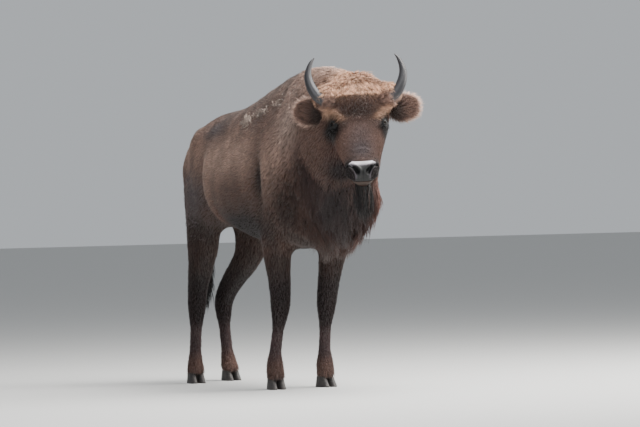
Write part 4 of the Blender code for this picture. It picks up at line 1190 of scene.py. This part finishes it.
def locks(name, root, rng, rings, material, clump=7, gather=0.5, droop=0.0, root_shade=0.5, tip=1.2):
    """Many tapered three-sided locks as one closed mesh.

    A lock's middle line is root + length * (t * flow + rise * normal + curl * side) with rise bending over
    with t, a sine wave to the side for the curl and a square of t for the droop, all drawn towards the
    nearest leading lock's tip. Its width swells from the root to a quarter and runs out to a point.
    """
    count = len(root["point"])
    length = root["style"][:, 0] * rng.uniform(0.70, 1.25, count) * bpy.context.scene.wisent_coat.length
    width = root["style"][:, 1] * rng.uniform(0.75, 1.25, count)
    lift = root["style"][:, 2] * rng.uniform(0.55, 1.45, count)
    curl = root["style"][:, 3]
    normal = root["normal"]
    flow = root["flow"] + rng.normal(size=(count, 3)) * (0.10 + 0.10 * curl)[:, None]
    flow = unit(flow - (flow * normal).sum(axis=1)[:, None] * normal)
    side = np.cross(normal, flow)
    tips = root["point"] + length[:, None] * (flow + normal * lift[:, None])
    pull, nearest = clump_pull(root["point"], tips, rng, clump)
    reach = np.linalg.norm(pull, axis=1)
    pull *= (gather * np.minimum(1, 0.8 * length / np.maximum(reach, 1e-6)))[:, None]
    phase = rng.uniform(0, 2 * np.pi, count)
    phase = 0.7 * phase[nearest] + 0.3 * phase
    t = np.linspace(0, 1, rings + 1)
    steps = t[None, :, None]
    rise = (steps * (1.7 - 0.7 * steps)) * lift[:, None, None]
    turns = 2 * np.pi * LOCK_WAVES * t[None] + phase[:, None]
    wave = np.sin(turns) - np.sin(phase)[:, None]
    bob = np.cos(turns) - np.cos(phase)[:, None]
    swing = LOCK_SWING * curl[:, None] * np.sqrt(t)[None]
    middle = (root["point"][:, None] - ROOT_DEPTH * normal[:, None]
              + length[:, None, None] * (steps * flow[:, None] + rise * normal[:, None]
                                         + (swing * wave)[..., None] * side[:, None]
                                         + 0.5 * (swing * np.abs(bob))[..., None] * normal[:, None])
              + pull[:, None] * steps**1.5
              - droop * length[:, None, None] * steps**2 * np.array((0, 0, 1.0)))
    middle[..., 2] = np.maximum(middle[..., 2], FLOOR_GAP)
    run = unit(np.gradient(middle, axis=1))
    across = unit(np.cross(normal[:, None], run) + 1e-6)
    over = np.cross(run, across)
    thick = np.interp(t, (0, 0.25, 0.7, 1.0), (0.75 if rings > 1 else 1.0, 1.0, 0.75, 0.0))[:-1]
    angle = np.radians((90, 210, 330))
    spoke = (np.cos(angle)[None, None, :, None] * across[:, :-1, None]
             + 0.55 * np.sin(angle)[None, None, :, None] * over[:, :-1, None])
    half = 0.5 * width[:, None, None, None] * thick[None, :, None, None]
    ring_points = middle[:, :-1, None] + half * spoke
    each = rings * 3 + 1
    points = np.concatenate([ring_points.reshape(count, rings * 3, 3), middle[:, -1:]], axis=1)
    quads = grid_faces(rings, 3)
    end = (rings - 1) * 3
    faces = np.concatenate([quads[:, [0, 1, 2]], quads[:, [0, 2, 3]], [(2, 1, 0)],
                            [(end + k, end + (k + 1) % 3, each - 1) for k in range(3)]])
    triangles = (faces[None] + np.arange(count)[:, None, None] * each).reshape(-1, 3)
    level = np.concatenate([np.repeat(t[:-1], 3), (1.0,)])
    # painted shade and sheen: each lock darker at the root, deep in the coat, and lighter towards the tip as
    # a painted sheen
    tone = np.interp(level, (0, 0.35, 0.75, 1.0), (root_shade, 0.90, 1.05, tip))
    own = np.clip(rng.normal(1, 0.12, count), 0.5, 1.6)
    group = np.clip(rng.normal(1, 0.13, count), 0.6, 1.5)[nearest]
    colour = root["colour"][:, None] * (own * group)[:, None, None] * tone[None, :, None]
    turn_at = np.concatenate([np.tile((0.0, 0.5, 1.0), rings), (0.5,)])
    uv = root["uv"][:, None] + PATCH * (np.stack([turn_at, level], axis=1) - 0.5)[None]
    strand = np.stack([np.broadcast_to(turn_at * 3, (count, each)) + phase[:, None] * 9,
                       np.broadcast_to(level * 0.8, (count, each)),
                       np.broadcast_to(phase[:, None] * 5, (count, each))], axis=-1)
    obj = made_object(name, points.reshape(-1, 3), triangles, material)
    write_unwrap(obj.data, uv.reshape(-1, 2)[triangles])
    write_attribute(obj.data, "coat_colour", with_alpha(colour.reshape(-1, 3)))
    write_attribute(obj.data, "strand", strand.reshape(-1, 3))
    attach(obj, "root")
    return obj


def in_pieces(name, root, rng, rings, material, **how):
    """Locks sorted from nose to tail and shared out so that each piece stays under the limit."""
    each = 6 * (rings - 1) + 4
    pieces = math.ceil(len(root["point"]) * each / MOST_TRIANGLES)
    order = np.argsort(root["point"][:, 1], kind="stable")
    for n, chosen in enumerate(np.array_split(order, pieces)):
        part = {key: values[chosen] for key, values in root.items()}
        locks(f"{name}_{n + 1}", part, rng, rings, material, **how)


def horn_course(side, rows=110, around=36):
    """Rings of one horn about its curved middle line, with their shares, angles and directions."""
    ahead = np.array((math.sin(HEAD_YAW), -math.cos(HEAD_YAW), 0))
    left = np.array((-ahead[1], ahead[0], 0))
    lean = np.array(Matrix.Rotation(HEAD_ROLL, 3, Vector(ahead)))
    line = smooth_rows(HORN_LINE, rows)
    taper = smooth_rows(np.array(HORN_TAPER)[:, None], rows)[:, 0]
    middle = (side * line[:, :1] * left - line[:, 2:] * ahead + line[:, 1:2] * (0, 0, 1)) @ lean.T
    middle = middle + np.array(HEAD_AT)
    run = unit(np.gradient(middle, axis=0))
    across = unit(np.cross(run, ahead))
    over = np.cross(across, run)
    t = np.linspace(0, 1, rows)
    angle = np.linspace(0, 2 * np.pi, around, endpoint=False)
    ridge = HORN_RING_HEIGHT * np.sin(2 * np.pi * HORN_RINGS * t) * ramp(t, 0.50, 0.15)
    flute = HORN_FLUTE_DEPTH * np.sin(HORN_FLUTES * angle + 2)[None] * ramp(t, 0.8, 0.2)[:, None]
    radius = HORN_BASE_RADIUS * np.maximum(taper, 0.03)[:, None] * (1 + ridge[:, None] + flute)
    rings = middle[:, None] + radius[..., None] * (np.cos(angle)[None, :, None] * across[:, None]
                                                   + np.sin(angle)[None, :, None] * over[:, None])
    return rings, t, angle, run


def horn_collar(side, rng, count):
    """Roots of the hair that grows over the base of one horn and lies along it."""
    rings, t, _, run = horn_course(side)
    row = rng.integers(0, int(COLLAR_SHARE * len(t)), count)
    roots = rings[row, rng.integers(0, rings.shape[1], count)]
    normals = unit(roots - rings[row].mean(axis=1))
    flow = unit(run[row] + (0, 0, -0.35) + 0.30 * rng.normal(size=(count, 3)))
    return hanging(roots, normals, flow, coat_colour(roots), 0.030, 0.0028, 0.40, 0.9, "head")


def hanging(points, normals, flow, colour, length, width, lift, curl, chart):
    """Roots given one by one for hair whose places are listed."""
    count = len(points)
    style = np.stack(np.broadcast_arrays(length, width, lift, curl, np.zeros(count)), axis=1)
    u0, v0, wide, high = CHARTS[chart]
    low, high_end = points.min(axis=0), points.max(axis=0)
    at = (points - low) / np.maximum(high_end - low, 1e-6)
    uv = np.stack([u0 + wide * at[:, 0], v0 + high * at[:, 1]], axis=1)
    return {"point": points, "normal": normals, "flow": flow, "colour": colour, "style": style, "uv": uv}


# ---------------------------------------------------------------- operators
class WISENT_OT_skin(bpy.types.Operator):
    """Makes the one skin under the coat"""
    bl_idname = "wisent.skin"
    bl_label = "Skin"

    def execute(self, context):
        skin = build_skin(context.scene.wisent_skin.grain)
        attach(skin, "root")
        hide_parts(*FLESH, "ear_left", "ear_right")
        return {"FINISHED"}


class WISENT_OT_coat(bpy.types.Operator):
    """Covers the skin with locks of hair that lie along the body"""
    bl_idname = "wisent.coat"
    bl_label = "Coat"

    def execute(self, context):
        settings = context.scene.wisent_coat
        skin = bpy.data.objects["skin"]
        rng = np.random.default_rng(settings.seed)
        hair = coat_material("hair", "strand", 2.2, 0.30, 0.35, 0.0008)[0]
        share = settings.fullness * 1.0
        looks = (dict(clump=6, gather=0.30, root_shade=0.62), dict(clump=8, gather=0.50, root_shade=0.52),
                 dict(clump=9, gather=0.55, droop=0.04, root_shade=0.48),
                 dict(clump=9, gather=0.55, droop=0.10, root_shade=0.45))
        ends = [band[0] for band in BANDS[1:]] + [9.0]
        for n, ((shortest, rings), longest, look) in enumerate(zip(BANDS, ends, looks)):
            def count_of(style, _):
                return share * style[:, 4] * (style[:, 0] >= shortest) * (style[:, 0] < longest)

            in_pieces(f"coat_{rings}", scattered(skin, count_of, rng), rng, rings, hair, **look)

        matted = (("shed_wool", WOOL, WOOL_GREY, 0, (0.030, 0.0045, 0.18, 1.2, 0.0)),
                  ("thigh_clots", CLOTS, SLATE, 1, (0.026, 0.0050, 0.24, 1.0, 0.0)))
        for name, spots, tone, both_sides, style in matted:
            def clump_count(_, middle):
                at = np.where((both_sides, 0, 0), np.abs(middle), middle)
                return sum(size * blob(at, centre, sizes) for centre, sizes, size in spots)

            tangle = scattered(skin, clump_count, rng)
            count = len(tangle["point"])
            tangle["style"] = np.tile(style, (count, 1))
            tangle["colour"] = COAT_GAIN * linear(tone) * rng.uniform(0.75, 1.15, (count, 1))
            tangle["flow"] = unit(tangle["flow"] + 0.7 * rng.normal(size=(count, 3)))
            locks(name, tangle, rng, 7, hair, clump=14, gather=0.75, root_shade=0.8)
        for side, word in ((1, "left"), (-1, "right")):
            collar = horn_collar(side, rng, HORN_HAIR_LOCKS)
            locks("horn_hair_" + word, collar, rng, 3, hair, clump=8, gather=0.45)
        for name in ("flow", "length", "width", "lift", "curl", "count", "colour"):
            skin.data.attributes.remove(skin.data.attributes["hair_" + name])
        return {"FINISHED"}


class WISENT_OT_beard(bpy.types.Operator):
    """Hangs the beard from the chin"""
    bl_idname = "wisent.beard"
    bl_label = "Beard"

    def execute(self, context):
        rng = np.random.default_rng(context.scene.wisent_coat.seed + 1)
        r = np.sqrt(rng.random(BEARD_LOCKS))
        a = rng.uniform(0, 2 * np.pi, BEARD_LOCKS)
        spread = np.stack([np.cos(a) * r, np.sin(a) * r, np.zeros(BEARD_LOCKS)], axis=1)
        roots = np.array(HEAD @ Vector(BEARD_AT)) + spread * BEARD_SPREAD
        normals = unit(spread + (0.001, 0, 0))
        flow = np.tile((0.0, 0.0, -1.0), (BEARD_LOCKS, 1))
        light = rng.random(BEARD_LOCKS) < 0.10
        colour = np.where(light[:, None], linear(UMBER), linear(BLACK_BROWN))
        length = BEARD_LENGTH - BEARD_SHORTER_AT_EDGE * r + rng.normal(size=BEARD_LOCKS) * 0.010
        root = hanging(roots, normals, flow, colour, length, 0.0044, 0.03 * r, 0.35, "head")
        hair = bpy.data.materials["hair"]
        beard = locks("beard_hair", root, rng, 6, hair, clump=12, gather=0.45, tip=1.1)
        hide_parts("beard")
        return {"FINISHED"}


class WISENT_OT_eyes(bpy.types.Operator):
    """Sets a dark glossy eyeball in each socket"""
    bl_idname = "wisent.eyes"
    bl_label = "Eyes"

    def execute(self, context):
        made, tree, shader = new_material("eye", 0.12, (0.010, 0.007, 0.006))
        shader.inputs["Coat Weight"].default_value = 0.08
        shader.inputs["Specular IOR Level"].default_value = 0.14
        shader.inputs["Coat Roughness"].default_value = 0.06
        # pupil, iris, its dark edge and the white, by angle from the gaze
        stops = ((0.18, (0.002, 0.002, 0.002)), (0.30, (0.012, 0.007, 0.004)),
                 (0.52, (0.006, 0.004, 0.003)), (0.80, (0.015, 0.011, 0.010)))
        tone = tone_ramp(tree, named(tree, "off_axis").outputs["Fac"], stops)
        tree.links.new(tone, shader.inputs["Base Color"])
        for side, word in ((1, "left"), (-1, "right")):
            lat = np.linspace(0, np.pi, 34)[1:-1]
            lon = np.linspace(0, 2 * np.pi, 48, endpoint=False)
            gaze, along, across = eye_axes(side)
            ball = (np.cos(lat)[:, None, None] * gaze
                    + np.sin(lat)[:, None, None] * (np.cos(lon)[None, :, None] * across
                                                    + np.sin(lon)[None, :, None] * along))
            swell = 1 + 0.035 * bell(lat, 0.45)[:, None, None]
            centre = np.array(EYE_SET) * (side, 1, 1)
            rings = from_head((centre + 0.99 * EYE_BALL * swell * ball).reshape(-1, 3)).reshape(ball.shape)
            eye = lofted("eyeball_" + word, rings, made)
            away = to_head(points_of(eye.data)) - centre
            u, v, w = away @ along, away @ across, away @ gaze
            off = np.hypot(np.arctan2(u, w) * 0.62, np.arctan2(v, w)) / 1.6
            write_attribute(eye.data, "off_axis", off)
            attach(eye, "root")
            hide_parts("eye_" + word)
        return {"FINISHED"}


class WISENT_OT_horns(bpy.types.Operator):
    """Makes both horns: a tapering tube along a curve, ringed at its base"""
    bl_idname = "wisent.horns"
    bl_label = "Horns"

    def execute(self, context):
        made, tree, shader = new_material("horn", 0.42)
        stops = ((0.05, (0.050, 0.047, 0.051)), (0.38, context.scene.wisent_horn.colour),
                 (0.92, (0.012, 0.011, 0.013)))
        tone = tone_ramp(tree, named(tree, "along_horn").outputs["Fac"], stops)
        grain = tree.nodes.new("ShaderNodeGroup")
        grain.node_tree = bpy.data.node_groups["hair_grain"]
        grain.inputs["Scale"].default_value = 4.0
        grain.inputs["Amount"].default_value = 0.22
        tree.links.new(named(tree, "horn_place").outputs["Vector"], grain.inputs["Place"])
        tree.links.new(tone, grain.inputs["Colour"])
        tree.links.new(grain.outputs["Colour"], shader.inputs["Base Color"])
        bumped(tree, shader, grain.outputs["Height"], 0.4, 0.0012)
        for side, word in ((1, "left"), (-1, "right")):
            rings, t, angle, _ = horn_course(side)
            rows, around = len(t), len(angle)
            horn = lofted("horn_sheath_" + word, rings, made)
            along = np.concatenate([np.repeat(t, around), (0, 1)])
            around_it = [np.tile(np.cos(angle), rows), np.tile(np.sin(angle), rows)]
            where = np.stack([*around_it, np.repeat(t, around) * 2], axis=1)
            write_attribute(horn.data, "along_horn", along)
            write_attribute(horn.data, "horn_place", np.concatenate([where, [(0, 0, 0), (0, 0, 2)]]))
            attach(horn, "root")
            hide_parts("horn_" + word)
        return {"FINISHED"}


class WISENT_OT_hooves(bpy.types.Operator):
    """Makes the two claws and the two dewclaws of each foot"""
    bl_idname = "wisent.hooves"
    bl_label = "Hooves"

    def execute(self, context):
        made, tree, shader = new_material("hoof", 0.6)
        where = tree.nodes.new("ShaderNodeTexCoord")
        mud = tree.nodes.new("ShaderNodeTexNoise")
        mud.inputs["Scale"].default_value = 55.0
        mud.inputs["Detail"].default_value = 4.0
        tree.links.new(where.outputs["Object"], mud.inputs["Vector"])
        stops = ((0.30, (0.012, 0.010, 0.010)), (0.72, (0.045, 0.038, 0.034)))
        tree.links.new(tone_ramp(tree, mud.outputs["Fac"], stops), shader.inputs["Base Color"])
        bumped(tree, shader, mud.outputs["Fac"], 0.5, 0.002)
        angle = np.linspace(0, 2 * np.pi, 44, endpoint=False)
        c, s = np.cos(angle), np.sin(angle)
        for foot, joints in LEG_JOINTS.items():
            outward = -1 if foot.endswith("right") else 1
            turn = outward * TOE_OUT[foot[:4]]
            spin = np.array(Matrix.Rotation(turn, 3, "Z"))
            at = np.array((*joints[-1][1:], 0))
            for side, word in ((outward, "outer"), (-outward, "inner")):
                t = np.concatenate([(0.0, 0.0), np.linspace(0.05, 1.0, 15), (1.0,)])
                shrink = np.where(t == 0, 0.93, 1.0)
                shrink[0], shrink[-1] = 0.5, 0.6
                ringed = 1 + CLAW_RING_HEIGHT * np.sin(2 * np.pi * CLAW_RINGS * t)
                half = (CLAW[0] + (CLAW_TOP[0] - CLAW[0]) * t) * shrink * ringed
                long = (CLAW[1] + (CLAW_TOP[1] - CLAW[1]) * t) * shrink * ringed
                x = side * CLAW_SPREAD + half[:, None] * np.sign(c) * np.abs(c) ** 0.8
                y = 0.010 * t[:, None] + long[:, None] * np.sign(s) * np.abs(s) ** 0.9
                z = np.broadcast_to((t * SOLE_HEIGHT)[:, None], x.shape)
                rings = np.stack([x, y, z], axis=-1) @ spin.T + at
                hoof = lofted(f"claw_{foot}_{word}", rings, made)
                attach(hoof, "root")
                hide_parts(f"hoof_{foot}_{word}")
                spot = np.array((*leg_middle(foot, DEWCLAW_HEIGHT), DEWCLAW_HEIGHT))
                small = spot + spin @ np.array((side * DEWCLAW_OUT, DEWCLAW_BACK, 0))
                lat = np.linspace(0, np.pi, 12)[1:-1, None]
                ball = np.stack([np.sin(lat) * c, np.sin(lat) * s, np.cos(lat) * np.ones_like(c)], axis=-1)
                dew = lofted(f"dewclaw_{foot}_{word}", small + ball * DEWCLAW_SIZES, made)
                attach(dew, "root")
        return {"FINISHED"}


class WISENT_OT_stage(bpy.types.Operator):
    """Lays the pale floor and sets the lights and the camera"""
    bl_idname = "wisent.stage"
    bl_label = "Stage"

    def execute(self, context):
        settings = context.scene.wisent_stage
        made, _, shader = new_material("floor", 0.9, settings.floor)
        side = np.linspace(-FLOOR_HALF, FLOOR_HALF, FLOOR_LINES)
        x, y = np.meshgrid(side, side, indexing="ij")
        points = np.stack([x.ravel(), y.ravel(), np.zeros(x.size)], axis=1)
        n = np.arange(FLOOR_LINES * (FLOOR_LINES - 1)).reshape(-1, FLOOR_LINES)[:, :-1].ravel()
        quads = np.stack([n, n + FLOOR_LINES, n + FLOOR_LINES + 1, n + 1], axis=1)
        floor = made_object("floor", points - SHIFT, quads, made)
        world = bpy.data.worlds.new("studio")
        world.use_nodes = True
        sky = world.node_tree.nodes["Background"]
        sky.inputs["Color"].default_value = SKY_COLOUR
        sky.inputs["Strength"].default_value = SKY_STRENGTH
        context.scene.world = world
        overhead = ("overhead", (1.2, -1.4, 4.6), 4.0, settings.key, (1.0, 0.98, 0.95))
        for name, at, size, power, colour in (overhead, *SIDE_LAMPS):
            light = bpy.data.lights.new(name, "AREA")
            light.size = size
            light.energy = power
            light.color = colour
            lamp = bpy.data.objects.new(name, light)
            lamp.location = at
            lamp.rotation_euler = (Vector(LAMP_TARGET) - Vector(at)).to_track_quat("-Z", "Y").to_euler()
            context.scene.collection.objects.link(lamp)
        azimuth = math.radians(CAMERA_AZIMUTH)
        elevation = math.radians(CAMERA_ELEVATION)
        roll = math.radians(CAMERA_ROLL)
        back = Vector((math.sin(azimuth) * math.cos(elevation), -math.cos(azimuth) * math.cos(elevation),
                       math.sin(elevation)))
        right = Vector((math.cos(azimuth), math.sin(azimuth), 0))
        up = back.cross(right)
        tilted_right = right * math.cos(roll) - up * math.sin(roll)
        tilted_up = up * math.cos(roll) + right * math.sin(roll)
        lens = bpy.data.cameras.new("camera")
        lens.sensor_width = SENSOR_WIDTH
        lens.lens = SENSOR_WIDTH * CAMERA_DISTANCE / FRAME_WIDTH
        lens.clip_end = CLIP_END
        camera = bpy.data.objects.new("camera", lens)
        turn = Matrix((tilted_right, tilted_up, back)).transposed().to_4x4()
        aim = Vector(CAMERA_AIM) + Vector(SHIFT)
        camera.matrix_world = Matrix.Translation(aim + back * CAMERA_DISTANCE) @ turn
        context.scene.collection.objects.link(camera)
        context.scene.camera = camera
        return {"FINISHED"}


class WISENT_PT_panel(bpy.types.Panel):
    """Lists the steps that build the wisent"""
    bl_label = "Young wisent"
    bl_idname = "WISENT_PT_panel"
    bl_space_type = "VIEW_3D"
    bl_region_type = "UI"
    bl_category = "Wisent"

    def draw(self, context):
        for step in STEPS:
            self.layout.operator(step.bl_idname)


STEPS = (WISENT_OT_skin, WISENT_OT_coat, WISENT_OT_beard, WISENT_OT_eyes, WISENT_OT_horns, WISENT_OT_hooves,
         WISENT_OT_stage)
SETTINGS = {"wisent_skin": SkinSettings, "wisent_coat": CoatSettings, "wisent_horn": HornSettings,
            "wisent_stage": StageSettings}


def register():
    for name, group in SETTINGS.items():
        bpy.utils.register_class(group)
        setattr(bpy.types.Scene, name, PointerProperty(type=group))
    for step in (*STEPS, WISENT_PT_panel):
        bpy.utils.register_class(step)


def unregister():
    for step in reversed((*STEPS, WISENT_PT_panel)):
        bpy.utils.unregister_class(step)
    for name, group in SETTINGS.items():
        delattr(bpy.types.Scene, name)
        bpy.utils.unregister_class(group)


def main():
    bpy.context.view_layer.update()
    register()
    bpy.ops.wisent.skin()
    bpy.ops.wisent.coat()
    bpy.ops.wisent.beard()
    bpy.ops.wisent.eyes()
    bpy.ops.wisent.horns()
    bpy.ops.wisent.hooves()
    bpy.ops.wisent.stage()


if __name__ == "__main__":
    main()
